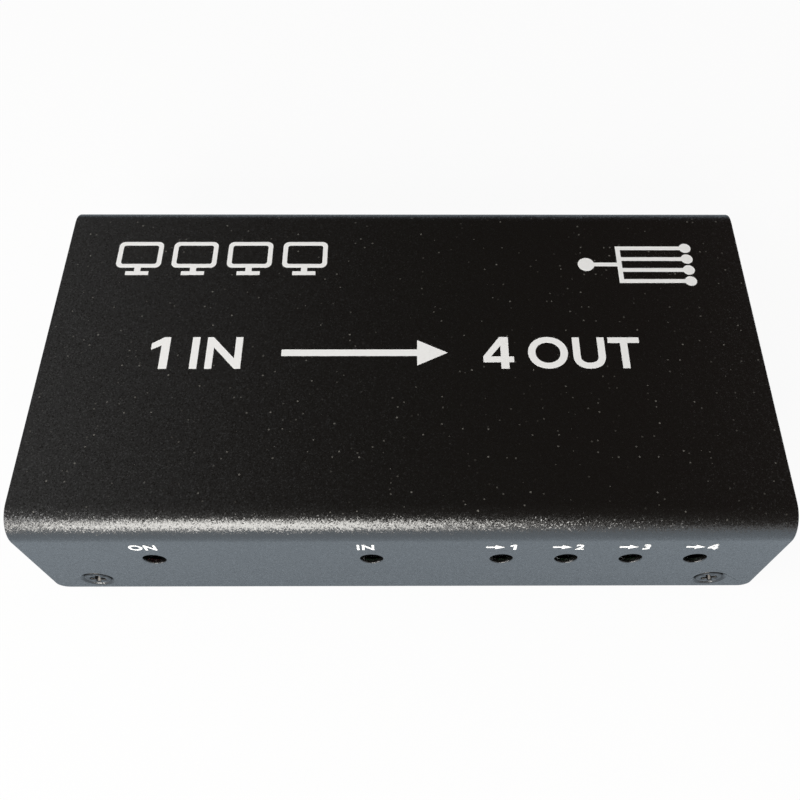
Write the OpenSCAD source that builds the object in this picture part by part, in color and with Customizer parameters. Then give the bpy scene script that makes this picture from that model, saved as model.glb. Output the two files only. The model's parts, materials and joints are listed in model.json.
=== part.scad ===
// Video splitter: copies one digital video input to four outputs.
// A folded sheet-steel cover screws down over a folded tray that carries the circuit board.
// Frame: origin at the centre of the surface it stands on, in millimetres.
// +X runs to the right along the lamp side, +Y towards the sockets and +Z up.

/* [Case] */
// Width of the case
case_w = 130; // [115:1:150]
// Depth of the case, from the lamp side to the socket side
case_d = 71; // [69:1:90]
// Height of the case without its feet
case_h = 27; // [26:0.5:36]
// Thickness of the steel sheet
sheet_t = 1; // [0.8:0.05:1.1]
// Outer radius of the cover's two long bends
cover_bend_r = 5; // [3:0.25:6]
// Outer radius of the tray's two end bends and of the cover's lower corners
tray_bend_r = 2; // [1.5:0.25:3]
// Clearance between the cover and the tray
case_gap = 0.2; // [0.15:0.05:0.3]

/* [Vents] */
// Number of vent slots in each end wall
vent_count = 7; // [3:1:8]
// Distance between the vent slots
vent_pitch = 5; // [4:0.5:6]
// Width of a vent slot
vent_w = 2; // [1.5:0.25:3]
// Length of a vent slot
vent_l = 12; // [8:1:14]

/* [Cover screws] */
// Thread diameter of the screws
screw_d = 3; // [2.5:0.5:3]
// Diameter of the countersunk head
screw_head_d = 5.5; // [5:0.25:5.75]
// Length of a cover screw with its head
screw_l = 6; // [5:0.5:8]
// Diameter of the countersink in the cover
countersink_d = 6.1; // [5.9:0.1:6.5]
// Distance of the cover screws from the ends of the case
screw_inset_x = 8.5; // [8:0.25:10]
// Height of the cover screws above the underside of the case
screw_inset_z = 4.3; // [4:0.1:4.8]
// Radial clearance of a thread in its hole
thread_gap = 0.03; // [0.02:0.01:0.06]

/* [Feet] */
// Diameter of a rubber foot
foot_d = 8; // [6:0.5:10]
// Height of a rubber foot
foot_h = 2; // [1.5:0.25:4]
// Distance of a foot's centre from the end of the case
foot_inset_x = 19; // [16:1:24]
// Distance of a foot's centre from the long side of the case
foot_inset_y = 9; // [8:0.5:12]

/* [Board] */
// Thickness of the circuit board
board_t = 1.6; // [1.2:0.2:1.6]
// Height of the standoffs under the board
standoff_h = 8; // [7.5:0.25:9]
// Diameter of a standoff
standoff_d = 6; // [5:0.5:7]
// Gap between the board and each end wall
board_side_gap = 2.5; // [2:0.25:3]
// Gap between the board and the lamp side
board_front_gap = 1.5; // [1.25:0.25:2]
// Gap between the board and the socket side
board_rear_gap = 1; // [0.75:0.25:1.5]
// Distance of the standoffs from the board's ends
standoff_inset_x = 5; // [4.5:0.5:6]
// Distance of the front standoffs from the board's front edge
standoff_inset_front = 8; // [7.5:0.5:10]
// Distance of the rear standoffs from the board's rear edge
standoff_inset_rear = 18.5; // [18:0.5:22]

/* [Indicator lamps] */
// Diameter of the lamp holes in the cover
lamp_hole_d = 4; // [3.4:0.1:4.5]
// Diameter of a lamp's lens
lamp_d = 3; // [2.8:0.1:3]
// Height of the lamps above the underside of the case
lamp_inset_z = 14.3; // [14:0.1:15.5]
// Distance of the power lamp from the left end of the case
power_lamp_inset = 21.7; // [19:0.1:25]
// Distance of the input lamp from the first output lamp
input_lamp_gap = 22.6; // [20:0.1:25]
// Distance between the output lamps
lamp_pitch = 11.3; // [10:0.1:11.5]
// Distance of the last output lamp from the right end of the case
output_lamp_inset = 14; // [13:0.1:16]

/* [Sockets] */
// Width of a video socket's opening
socket_w = 14; // [13.9:0.05:14.1]
// Height of a video socket's opening
socket_h = 4.55; // [4.5:0.05:4.65]
// Thickness of a socket's steel shell
shell_t = 0.35; // [0.25:0.05:0.4]
// Length of a socket's steel shell
shell_l = 11; // [10.5:0.25:12]
// Gap round a socket in the cover's window
window_gap = 0.4; // [0.3:0.05:0.6]
// Distance of the input socket from the power jack
jack_to_socket = 19.5; // [18.5:0.25:20.5]
// Distance of the last output socket from the right end of the case
socket_inset = 13.5; // [12.75:0.25:15]
// Thickness of a socket's contact strips
contact_t = 0.15; // [0.1:0.05:0.2]
// Width of a socket's contact strips
contact_w = 0.35; // [0.25:0.05:0.4]

/* [Power jack] */
// Distance of the power jack from the left end of the case
jack_inset = 15; // [14.5:0.25:16.5]
// Height of the jack's barrel above the board
jack_axis_h = 6.5; // [6.25:0.25:7]
// Bore of the jack's barrel
jack_bore_d = 6.3; // [6.1:0.1:6.5]
// Diameter of the jack's centre pin
jack_pin_d = 2; // [1.8:0.1:2.5]
// Diameter of the cover's hole for the plug
jack_hole_d = 8; // [7:0.25:8.5]

/* [Hidden] */
$fn = 48;

// Overshoot of a cutter past the face that it cuts
cut = 1;

// Heights of the stack: feet, case, tray floor, board
base_z = foot_h;
top_z = base_z + case_h;
floor_z = base_z + sheet_t;
board_z = floor_z + standoff_h;
board_top = board_z + board_t;

// The case's faces
front_y = -case_d / 2;
rear_y = case_d / 2;
inner_front_y = front_y + sheet_t;
inner_rear_y = rear_y - sheet_t;
inner_x = case_w / 2 - sheet_t;
tray_d = case_d - 2 * (sheet_t + case_gap);
tray_top_z = top_z - sheet_t - case_gap;
tray_corner_r = cover_bend_r - sheet_t - case_gap;

// Cover screws and the tabs that they thread into
screw_x = case_w / 2 - screw_inset_x;
screw_z = base_z + screw_inset_z;
screw_sink = 0.1;
screw_turn = 30;
thread_hole_d = screw_d + 2 * thread_gap;
tab_side = 5;
foot_edge = foot_h / 4;
tab_floor_gap = 0.5;
tab_board_gap = 0.8;
collar_wall = 0.9;
collar_l = 1.2;
tab_chamfer = 0.45;
recess_l = 3;
recess_w = 0.7;
recess_depth = 1;

// The board's outline and its standoffs
board_x = inner_x - board_side_gap;
board_front = inner_front_y + board_front_gap;
board_rear = inner_rear_y - board_rear_gap;
standoff_x = board_x - standoff_inset_x;
standoff_front_y = board_front + standoff_inset_front;
standoff_rear_y = board_rear - standoff_inset_rear;
standoff_shank_d = 4.2;
standoff_press_gap = 0.02;
board_screw_l = 5;
board_screw_head_d = 5.5;
board_screw_head_h = 2;
board_hole_gap = 0.15;
board_hole_d = screw_d + 2 * board_hole_gap;

// Lamps: the lens, its flange and its two wires
output_count = 4;
lamp_z = base_z + lamp_inset_z;
output_lamp_x = case_w / 2 - output_lamp_inset - (output_count - 1) * lamp_pitch;
lamp_xs = concat(
    [power_lamp_inset - case_w / 2, output_lamp_x - input_lamp_gap],
    [for (i = [0 : output_count - 1]) output_lamp_x + i * lamp_pitch]
);
lamp_tip_gap = 0.3;
lamp_body_l = 3.2;
lamp_flange_w = 0.4;
lamp_flange_d = lamp_d + 2 * lamp_flange_w;
lamp_flange_l = 1;
lamp_tip_y = inner_front_y + lamp_tip_gap;
lamp_base_y = lamp_tip_y + lamp_d / 2 + lamp_body_l + lamp_flange_l;
lead_t = 0.5;
lead_spacing = 2.54;
lead_reach = 2.2;
lead_below = 1.2;
lead_hole_d = 0.9;

// Sockets: the shell stands a little off the board, and its mouth lies just inside the case's rear face
jack_x = jack_inset - case_w / 2;
input_socket_x = jack_x + jack_to_socket;
socket_pitch = (case_w / 2 - socket_inset - input_socket_x) / output_count;
socket_xs = [for (i = [0 : output_count]) input_socket_x + i * socket_pitch];
socket_recess = 0.15;
socket_mouth_y = rear_y - socket_recess;
socket_lift = 0.3;
socket_floor = socket_lift + shell_t;
socket_roof = socket_floor + socket_h;
socket_taper = 1.7;
tongue_t = 1.45;
tongue_w = 10.9;
tongue_tip = 2.2;
tongue_z = socket_floor + (socket_h - tongue_t) / 2;
insulator_block = 3;
insulator_gap = 0.05;
skirt_t = 1.15;
skirt_y = -(shell_l + insulator_gap);
insulator_back = skirt_y - skirt_t;
contact_pitch = 1;
contacts_above = 10;
contacts_below = 9;
contact_foot = 0.85;
shell_leg_l = 1.4;
shell_leg_ys = [-3.5, -9.3];
leg_below = 0.6;
leg_slot_gap = 0.2;
finger_x = 3.3;
finger_w = 1.9;
finger_gap = 0.35;
finger_root = insulator_block - shell_l;
finger_tip = -3;
finger_dip = 0.45;
finger_rise = 0.2;
finger_heel = 0.6;

// Power jack: its own frame has the barrel's axis at zero height and its front face at zero depth
jack_recess = 0.2;
jack_y = inner_rear_y - jack_recess;
jack_z = board_top + jack_axis_h;
jack_w = 9;
jack_l = 14;
jack_rise = 4.5;
jack_bore_l = 9.5;
jack_pin_recess = 2.2;
jack_pin_gap = 0.02;
jack_pin_nose = 0.4;
terminal_t = 0.4;
terminal_w = 2.4;
terminal_below = 1.2;
terminal_slot_gap = 0.2;
spring_w = 3;
spring_t = 0.35;
spring_eye_r = 0.5;
spring_drop = 1.05;
spring_eye = [-10.5, -jack_bore_d / 2 - spring_drop];
spring_slot_side = 0.3;
spring_slot_front = -1.2;
spring_slot_rear = -12;
hook_gap = 0.05;
hook_t = 0.35;
hook_open = 70;
spring_bends = [[0, 0], [3.3, 0.45], [5.5, 1.825], [7.1, 0.6], [8.6, 0.15]];
spring_line = [for (bend = spring_bends) spring_eye + bend];
switch_gap = 0.1;
switch_t = 0.35;
switch_l = 0.7;
switch_y = -2.6;
switch_z = lookup(switch_y, spring_line) + spring_t / 2 + switch_gap;

// Signal parts on the board, placed from its centre
chip_at = [10, 1];
control_at = [-14, -8];
crystal_at = [-5, -9];
chip_w = 14;
chip_t = 1.4;
chip_lift = 0.1;
chip_leads_side = 16;
chip_lead_pitch = 0.8;
chip_lead_w = 0.35;
chip_lead_t = 0.15;
chip_lead_reach = 1;
pad_w = 13;
pad_t = 0.4;
sink_w = 14;
sink_base = 1.5;
sink_fin_h = 4;
sink_fin_t = 1;
sink_fins = 6;
control_body = [5.3, 7.2, 1.5];
control_legs = 10;
control_leg_pitch = 0.65;
control_leg = [0.9, 0.3, 0.2];
crystal_can = [4.7, 11.2, 3.5];
surge_body = [2.5, 1, 0.6];
surge_behind = 3.5;
ceramic_body = [1.6, 0.8, 0.8];
ceramic_row = 6;
ceramic_pitch = 2.4;
ceramic_gap = 1.5;

// Parts of the power supply, placed from the board's left edge
regulator_at = [[17.5, 8], [27.5, 8]];
can_at = [[19.5, -2], [27.5, -2], [19.5, -12]];
inductor_at = [30.5, -12];
regulator_body = [6.5, 3.5, 1.6];
regulator_tab = [3, 1.6, 0.4];
regulator_leg = [0.7, 1.6, 0.4];
regulator_legs = 3;
regulator_leg_pitch = 2.3;
inductor_body = [7, 7, 3.8];
inductor_corner = 1.4;
can_d = 6.3;
can_h = 7.7;
can_groove_z = 1.6;
can_groove_r = 0.4;

// Quarter of a disc in the +X +Y quadrant, standing on the XY plane
module quarter_disc(r, t) {
    rotate_extrude(angle = 90) square([r, t]);
}

// Quarter of a sheet bend in the +X +Y quadrant, standing on the XY plane
module quarter_bend(r_out, t, l) {
    rotate_extrude(angle = 90) translate([r_out - t, 0]) square([t, l]);
}

// Turns a shape drawn on the XY plane so that its height runs along +X and its plane is YZ
module along_x() {
    rotate([90, 0, 90]) children();
}

// Turns a shape drawn on the XY plane so that its height runs along -Y and its plane is XZ
module along_minus_y() {
    rotate([90, 0, 0]) children();
}

// Turns a shape that stands on the XY plane so that its height runs along +Y
module along_y() {
    rotate([-90, 0, 0]) children();
}

// Places a shape at the front and its mirror image at the rear
module front_and_rear() {
    children();
    mirror([0, 1, 0]) children();
}

// Places a shape at the right and its mirror image at the left
module right_and_left() {
    children();
    mirror([1, 0, 0]) children();
}

// Repeats a shape along X, with the row centred
module row(count, pitch) {
    for (k = [0 : count - 1]) translate([(k - (count - 1) / 2) * pitch, 0, 0]) children();
}

// Slot with round ends, on the XY plane and centred, with its length along Y
module slot(w, l, t) {
    translate([-w / 2, -(l - w) / 2, 0]) cube([w, l - w, t]);
    for (end = [0, 1]) mirror([0, end, 0])
        translate([0, (l - w) / 2, 0]) rotate_extrude(angle = 180) square([w / 2, t]);
}

// Long side of the cover, at the front, with rounded lower corners
module cover_side() {
    r = tray_bend_r;
    side_h = case_h - cover_bend_r;
    translate([-case_w / 2, front_y, base_z + r]) cube([case_w, sheet_t, side_h - r]);
    translate([-case_w / 2 + r, front_y, base_z]) cube([case_w - 2 * r, sheet_t, r]);
    right_and_left()
        translate([case_w / 2 - r, front_y + sheet_t, base_z + r])
            along_minus_y() mirror([0, 1, 0]) quarter_disc(r, sheet_t);
}

// The cover's sheet: flat top, two long bends and two sides
module cover_sheet() {
    flat_d = case_d - 2 * cover_bend_r;
    translate([-case_w / 2, -flat_d / 2, top_z - sheet_t]) cube([case_w, flat_d, sheet_t]);
    front_and_rear() {
        cover_side();
        translate([-case_w / 2, -flat_d / 2, top_z - cover_bend_r])
            along_x() mirror([1, 0, 0]) quarter_bend(cover_bend_r, sheet_t, case_w);
    }
}

// Countersunk hole through the front of the cover
module countersink() {
    inner_d = countersink_d - 2 * sheet_t;
    translate([screw_x, front_y - cut, screw_z])
        along_y() cylinder(d1 = countersink_d + 2 * cut, d2 = inner_d, h = cut + sheet_t);
    translate([screw_x, front_y, screw_z]) along_y() cylinder(d = inner_d, h = sheet_t + cut);
}

module top_cover() {
    through = sheet_t + 2 * cut;
    color("#1c1c1e") difference() {
        cover_sheet();
        front_and_rear() right_and_left() countersink();
        for (x = lamp_xs)
            translate([x, front_y - cut, lamp_z]) along_y() cylinder(d = lamp_hole_d, h = through);
        for (x = socket_xs)
            translate([x, rear_y + cut, board_top])
                along_minus_y() linear_extrude(through) polygon(socket_outline(shell_t + window_gap));
        translate([jack_x, inner_rear_y - cut, jack_z]) along_y() cylinder(d = jack_hole_d, h = through);
    }
}

// End wall of the tray at the right, with its top corners rounded to follow the cover
module tray_end() {
    r = tray_corner_r;
    low = base_z + tray_bend_r;
    translate([inner_x, -tray_d / 2, low]) cube([sheet_t, tray_d, tray_top_z - r - low]);
    translate([inner_x, -tray_d / 2 + r, tray_top_z - r]) cube([sheet_t, tray_d - 2 * r, r]);
    front_and_rear()
        translate([inner_x, -tray_d / 2 + r, tray_top_z - r])
            along_x() mirror([1, 0, 0]) quarter_disc(r, sheet_t);
}

// Tab behind the cover's side, bent in from the end wall, with a tapped collar for a cover screw
module screw_tab() {
    tab_y = -tray_d / 2;
    tab_in = screw_x - tab_side;
    tab_low = floor_z + tab_floor_gap;
    tab_high = board_z - tab_board_gap;
    translate([tab_in, tab_y, tab_low]) cube([inner_x - tab_in, sheet_t, tab_high - tab_low]);
    translate([screw_x, tab_y + sheet_t, screw_z])
        along_y() cylinder(d = thread_hole_d + 2 * collar_wall, h = collar_l);
}

// Thread hole of a tab, with its lead-in
module tab_hole() {
    tab_y = -tray_d / 2;
    translate([screw_x, tab_y - cut, screw_z])
        along_y() cylinder(d = thread_hole_d, h = sheet_t + collar_l + 2 * cut);
    translate([screw_x, tab_y, screw_z])
        along_y() cylinder(d1 = thread_hole_d + 2 * tab_chamfer, d2 = thread_hole_d, h = tab_chamfer);
}

// Places a shape at each standoff
module at_standoffs() {
    for (x = [-standoff_x, standoff_x], y = [standoff_front_y, standoff_rear_y])
        translate([x, y, 0]) children();
}

module base_tray() {
    flat_w = case_w - 2 * tray_bend_r;
    vent_z = (base_z + tray_bend_r + tray_top_z) / 2;
    color("#1c1c1e") difference() {
        union() {
            translate([-flat_w / 2, -tray_d / 2, base_z]) cube([flat_w, tray_d, sheet_t]);
            right_and_left() {
                translate([flat_w / 2, tray_d / 2, base_z + tray_bend_r])
                    along_minus_y() mirror([0, 1, 0]) quarter_bend(tray_bend_r, sheet_t, tray_d);
                tray_end();
                front_and_rear() screw_tab();
            }
        }
        front_and_rear() right_and_left() tab_hole();
        at_standoffs()
            translate([0, 0, base_z - cut]) cylinder(d = standoff_shank_d, h = sheet_t + 2 * cut);
        right_and_left() for (i = [0 : vent_count - 1])
            translate([inner_x - cut, (i - (vent_count - 1) / 2) * vent_pitch, vent_z])
                along_x() slot(vent_w, vent_l, sheet_t + 2 * cut);
    }
}

// Cross recess, open at the XY plane and cut upwards
module cross_recess() {
    for (turn = [0, 90]) rotate(turn)
        translate([-recess_l / 2, -recess_w / 2, -cut]) cube([recess_l, recess_w, recess_depth + cut]);
}

// Cover screw with its head on the XY plane and its thread upwards
module countersunk_screw() {
    head_l = (screw_head_d - screw_d) / 2;
    difference() {
        union() {
            cylinder(d1 = screw_head_d, d2 = screw_d, h = head_l);
            translate([0, 0, head_l]) cylinder(d = screw_d, h = screw_l - head_l);
        }
        cross_recess();
    }
}

module cover_screws_front() {
    color("#3a3a3d") right_and_left()
        translate([screw_x, front_y + screw_sink, screw_z])
            along_y() rotate(screw_turn) countersunk_screw();
}

module cover_screws_rear() {
    color("#3a3a3d") mirror([0, 1, 0]) cover_screws_front();
}

module rubber_feet() {
    r = foot_d / 2;
    color("#151515")
        for (x = [-1, 1], y = [-1, 1])
            translate([x * (case_w / 2 - foot_inset_x), y * (case_d / 2 - foot_inset_y), 0])
                rotate_extrude() polygon([
                    [0, 0], [r - foot_edge, 0], [r, foot_edge], [r, foot_h], [0, foot_h]
                ]);
}

// Hole for one terminal of the power jack, in the jack's own frame
module terminal_slot(x, y, w, t) {
    translate([x - w / 2 - terminal_slot_gap, y - terminal_slot_gap, -jack_axis_h - board_t - cut])
        cube([w + 2 * terminal_slot_gap, t + 2 * terminal_slot_gap, board_t + 2 * cut]);
}

module circuit_board() {
    color("#1d3b2a") difference() {
        translate([-board_x, board_front, board_z]) cube([2 * board_x, board_rear - board_front, board_t]);
        at_standoffs() translate([0, 0, board_z - cut]) cylinder(d = board_hole_d, h = board_t + 2 * cut);
        for (x = lamp_xs, side = [-1, 1])
            translate([x + side * lead_spacing / 2, lamp_base_y + lead_reach - lead_t / 2, board_z - cut])
                cylinder(d = lead_hole_d, h = board_t + 2 * cut, $fn = 24);
        for (x = socket_xs, y = shell_leg_ys, side = [0, 1])
            translate([x, socket_mouth_y + y, board_z - cut]) mirror([side, 0, 0])
                translate([socket_w / 2 - leg_slot_gap, -shell_leg_l / 2 - leg_slot_gap, 0])
                    cube([shell_t + 2 * leg_slot_gap, shell_leg_l + 2 * leg_slot_gap, board_t + 2 * cut]);
        at_jack() {
            terminal_slot(0, -jack_l - terminal_t, terminal_w, terminal_t);
            terminal_slot(0, spring_eye.x - spring_eye_r - hook_gap - hook_t, spring_w, hook_t);
            terminal_slot(jack_w / 2 + switch_t / 2, switch_y, switch_t, switch_l);
        }
    }
}

module board_standoffs() {
    color("#c9b26a") at_standoffs() difference() {
        union() {
            translate([0, 0, floor_z]) cylinder(d = standoff_d, h = standoff_h);
            translate([0, 0, base_z]) cylinder(d = standoff_shank_d - 2 * standoff_press_gap, h = sheet_t);
        }
        translate([0, 0, base_z - cut]) cylinder(d = thread_hole_d, h = standoff_h + sheet_t + 2 * cut);
    }
}

module board_screws() {
    color("#b9bbbd") at_standoffs() difference() {
        union() {
            translate([0, 0, board_top]) cylinder(d = board_screw_head_d, h = board_screw_head_h);
            translate([0, 0, board_top - board_screw_l]) cylinder(d = screw_d, h = board_screw_l);
        }
        translate([0, 0, board_top + board_screw_head_h]) mirror([0, 0, 1]) cross_recess();
    }
}

// Outline of a video socket's opening, wide at the top and tapered at 45 degrees below, grown outwards by g
function socket_outline(g) =
    let (
        a = socket_w / 2 + g,
        b = socket_w / 2 - socket_taper + (sqrt(2) - 1) * g,
        low = socket_floor - g,
        knee = socket_floor + socket_taper - (sqrt(2) - 1) * g,
        high = socket_roof + g
    )
    [[-b, low], [b, low], [a, knee], [a, high], [-a, high], [-a, knee]];

// Places a shape, drawn with its mouth at zero depth and the board's face at zero height, at socket i
module at_socket(i) {
    translate([socket_xs[i], socket_mouth_y, board_top]) children();
}

// One side leg of a socket's shell, soldered through the board
module shell_leg(y) {
    bottom = -board_t - leg_below;
    translate([socket_w / 2, y - shell_leg_l / 2, bottom])
        cube([shell_t, shell_leg_l, socket_floor + socket_h / 2 - bottom]);
}

// Spring finger in the roof of a socket's shell, dipping into the opening to grip the plug
module shell_finger() {
    root = finger_root - shell_t;
    heel = finger_tip - finger_heel;
    low = socket_roof - finger_dip;
    translate([-finger_w / 2, 0, 0]) along_x() linear_extrude(finger_w) polygon([
        [root, socket_roof + shell_t], [root, socket_roof],
        [heel, low], [finger_tip, low + finger_rise],
        [finger_tip, low + finger_rise + shell_t], [heel, low + shell_t]
    ]);
}

module socket_shell(i) {
    finger_slot = [finger_w + 2 * finger_gap, finger_tip + finger_gap - finger_root, shell_t + 2 * cut];
    color("#c4c6c8") at_socket(i) {
        difference() {
            along_minus_y() linear_extrude(shell_l) polygon(socket_outline(shell_t));
            translate([0, cut, 0])
                along_minus_y() linear_extrude(shell_l + 2 * cut) polygon(socket_outline(0));
            for (x = [-finger_x, finger_x])
                translate([x - finger_slot.x / 2, finger_root, socket_roof - cut]) cube(finger_slot);
        }
        for (x = [-finger_x, finger_x]) translate([x, 0, 0]) shell_finger();
        right_and_left() for (y = shell_leg_ys) shell_leg(y);
    }
}

// One contact: a strip along the tongue at height z, a leg down the back and a foot on the board
module contact(z) {
    translate([-contact_w / 2, 0, 0]) along_x() linear_extrude(contact_w) {
        translate([insulator_back, z]) square([-insulator_back - tongue_tip - contact_w, contact_t]);
        translate([insulator_back - contact_t, 0]) square([contact_t, z + contact_t]);
        translate([insulator_back - contact_t - contact_foot, 0]) square([contact_foot, contact_t]);
    }
}

// Ten contacts on top of the tongue and nine between them underneath
module contact_rows() {
    row(contacts_above, contact_pitch) contact(tongue_z + tongue_t - contact_t);
    row(contacts_below, contact_pitch) contact(tongue_z);
}

module socket_contacts(i) {
    color("#d8b456") at_socket(i) contact_rows();
}

module socket_insulator(i) {
    color("#17181a") at_socket(i) difference() {
        union() {
            translate([0, insulator_block - shell_l, 0])
                along_minus_y() linear_extrude(insulator_block) polygon(socket_outline(-insulator_gap));
            translate([-tongue_w / 2, -shell_l, tongue_z]) cube([tongue_w, shell_l - tongue_tip, tongue_t]);
            translate([-socket_w / 2, insulator_back, 0]) cube([socket_w, skirt_t, socket_roof]);
            translate([-tongue_w / 2, skirt_y, tongue_z]) cube([tongue_w, 2 * insulator_gap, tongue_t]);
        }
        contact_rows();
    }
}

// Places a shape drawn in the power jack's own frame
module at_jack() {
    translate([jack_x, jack_y, jack_z]) children();
}

module jack_housing() {
    slot_w = spring_w + 2 * spring_slot_side;
    color("#141416") at_jack() difference() {
        translate([-jack_w / 2, -jack_l, -jack_axis_h]) cube([jack_w, jack_l, jack_axis_h + jack_rise]);
        translate([0, -jack_bore_l, 0]) along_y() cylinder(d = jack_bore_d, h = jack_bore_l + cut);
        translate([0, -jack_l - cut, 0]) along_y() cylinder(d = jack_pin_d + 2 * jack_pin_gap, h = jack_l);
        translate([-slot_w / 2, spring_slot_rear, -jack_axis_h - cut])
            cube([slot_w, spring_slot_front - spring_slot_rear, jack_axis_h + cut]);
        translate([0, switch_y - switch_gap, switch_z - switch_gap])
            cube([jack_w / 2 + cut, switch_l + 2 * switch_gap, switch_t + 2 * switch_gap]);
    }
}

module jack_centre_pin() {
    tail_low = -jack_axis_h - board_t - terminal_below;
    pin_l = jack_l - jack_pin_recess;
    color("#cfd0d2") at_jack() {
        translate([0, -jack_l, 0]) along_y() cylinder(d = jack_pin_d, h = pin_l - jack_pin_nose);
        translate([0, -jack_pin_recess - jack_pin_nose, 0])
            along_y() cylinder(d1 = jack_pin_d, d2 = jack_pin_d - jack_pin_nose, h = jack_pin_nose);
        translate([-terminal_w / 2, -jack_l - terminal_t, tail_low])
            cube([terminal_w, terminal_t, jack_pin_d - tail_low]);
    }
}

// The sleeve spring's outline from the side: its line thickened upwards and downwards
module spring_outline() {
    last = len(spring_line) - 1;
    half = [0, spring_t / 2];
    polygon(concat(
        [for (p = spring_line) p + half],
        [for (k = [last : -1 : 0]) spring_line[k] - half]
    ));
}

module jack_sleeve_spring() {
    color("#b98a3c") at_jack() translate([-spring_w / 2, 0, 0]) along_x() {
        linear_extrude(spring_w) spring_outline();
        translate(spring_eye) cylinder(r = spring_eye_r, h = spring_w);
    }
}

module jack_sleeve_terminal() {
    r_in = spring_eye_r + hook_gap;
    r_out = r_in + hook_t;
    tail_low = -jack_axis_h - board_t - terminal_below;
    color("#b98a3c") at_jack() translate([-spring_w / 2, 0, 0]) along_x() {
        translate(spring_eye) rotate(hook_open) rotate_extrude(angle = 360 - 2 * hook_open)
            translate([r_in, 0]) square([hook_t, spring_w]);
        translate([spring_eye.x - r_out, tail_low]) cube([hook_t, spring_eye.y - tail_low, spring_w]);
    }
}

module jack_switch_contact() {
    tail_low = -jack_axis_h - board_t - terminal_below;
    color("#b98a3c") at_jack() {
        translate([-spring_w / 2, switch_y, switch_z])
            cube([spring_w / 2 + jack_w / 2, switch_l, switch_t]);
        translate([jack_w / 2, switch_y, tail_low])
            cube([switch_t, switch_l, switch_z + switch_t - tail_low]);
    }
}

// One lamp with its flange on the XY plane and its dome upwards
module lamp() {
    r = lamp_d / 2;
    rotate_extrude() {
        square([lamp_flange_d / 2, lamp_flange_l]);
        translate([0, lamp_flange_l]) square([r, lamp_body_l]);
        translate([0, lamp_flange_l + lamp_body_l]) intersection() {
            circle(r);
            square(2 * r);
        }
    }
}

module lamp_at(x, tint) {
    color(tint) translate([x, lamp_base_y, lamp_z]) rotate([90, 0, 0]) lamp();
}

// Two wires behind each lamp, bent down into the board
module lamp_leads() {
    down = lamp_z + lead_t / 2 - board_z + lead_below;
    color("#c8cacc")
        for (x = lamp_xs, side = [-1, 1])
            translate([x + side * lead_spacing / 2 - lead_t / 2, lamp_base_y, lamp_z - lead_t / 2]) {
                cube([lead_t, lead_reach, lead_t]);
                translate([0, lead_reach - lead_t, lead_t - down]) cube([lead_t, lead_t, down]);
            }
}

// Places a shape on the board's upper face, from the board's centre
module on_board(at) {
    translate([at.x, at.y, board_top]) children();
}

// Places a shape on the board's upper face, from the board's left edge
module by_left_edge(at) {
    translate([at.x - board_x, at.y, board_top]) children();
}

module splitter_chip() {
    color("#1a1a1c") on_board(chip_at)
        translate([-chip_w / 2, -chip_w / 2, chip_lift]) cube([chip_w, chip_w, chip_t]);
}

// One gull-wing lead: out of the body at mid height, down and along the board
module chip_lead() {
    shoulder = chip_lead_reach / 2;
    out_z = chip_lift + chip_t / 2;
    translate([0, chip_lead_w / 2, 0]) along_minus_y() linear_extrude(chip_lead_w) {
        translate([0, out_z]) square([shoulder, chip_lead_t]);
        translate([shoulder - chip_lead_t, 0]) square([chip_lead_t, out_z + chip_lead_t]);
        translate([shoulder - chip_lead_t, 0]) square([chip_lead_reach - shoulder, chip_lead_t]);
    }
}

module splitter_chip_leads() {
    color("#c8cacc") on_board(chip_at)
        for (turn = [0 : 3]) rotate(90 * turn)
            row(chip_leads_side, chip_lead_pitch) translate([0, -chip_w / 2, 0]) rotate(-90) chip_lead();
}

module thermal_pad() {
    color("#7c8894") on_board(chip_at)
        translate([-pad_w / 2, -pad_w / 2, chip_lift + chip_t]) cube([pad_w, pad_w, pad_t]);
}

module heat_sink() {
    fin_step = (sink_w - sink_fin_t) / (sink_fins - 1);
    color("#2a2b2d") on_board(chip_at) translate([-sink_w / 2, -sink_w / 2, chip_lift + chip_t + pad_t]) {
        cube([sink_w, sink_w, sink_base]);
        for (k = [0 : sink_fins - 1])
            translate([k * fin_step, 0, sink_base]) cube([sink_fin_t, sink_w, sink_fin_h]);
    }
}

// Small moulded chip with legs along its two long sides
module control_chip() {
    body = control_body;
    leg = control_leg;
    color("#1a1a1c") on_board(control_at) {
        translate([-body.x / 2, -body.y / 2, 0]) cube(body);
        right_and_left()
            rotate(90) row(control_legs, control_leg_pitch)
                translate([-leg.y / 2, -body.x / 2 - leg.x, 0]) cube([leg.y, leg.x, leg.z]);
    }
}

module clock_crystal() {
    color("#c4c6c8") on_board(crystal_at) slot(crystal_can.x, crystal_can.y, crystal_can.z);
}

// Two linear regulators, each a body with a wide tab and three legs
module voltage_regulators() {
    body = regulator_body;
    leg = regulator_leg;
    color("#1a1a1c") for (at = regulator_at) by_left_edge(at) {
        translate([-body.x / 2, -body.y / 2, 0]) cube(body);
        translate([-regulator_tab.x / 2, body.y / 2, 0]) cube(regulator_tab);
        row(regulator_legs, regulator_leg_pitch)
            translate([-leg.x / 2, -body.y / 2 - leg.y, 0]) cube(leg);
    }
}

// Electrolytic cans, each with the rolled groove near its foot
module filter_capacitors() {
    r = can_d / 2;
    color("#6f7680") for (at = can_at) by_left_edge(at) rotate_extrude() polygon([
        [0, 0], [r, 0], [r, can_groove_z],
        [r - can_groove_r, can_groove_z + can_groove_r], [r, can_groove_z + 2 * can_groove_r],
        [r, can_h - can_groove_r], [r - can_groove_r, can_h], [0, can_h]
    ]);
}

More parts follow.
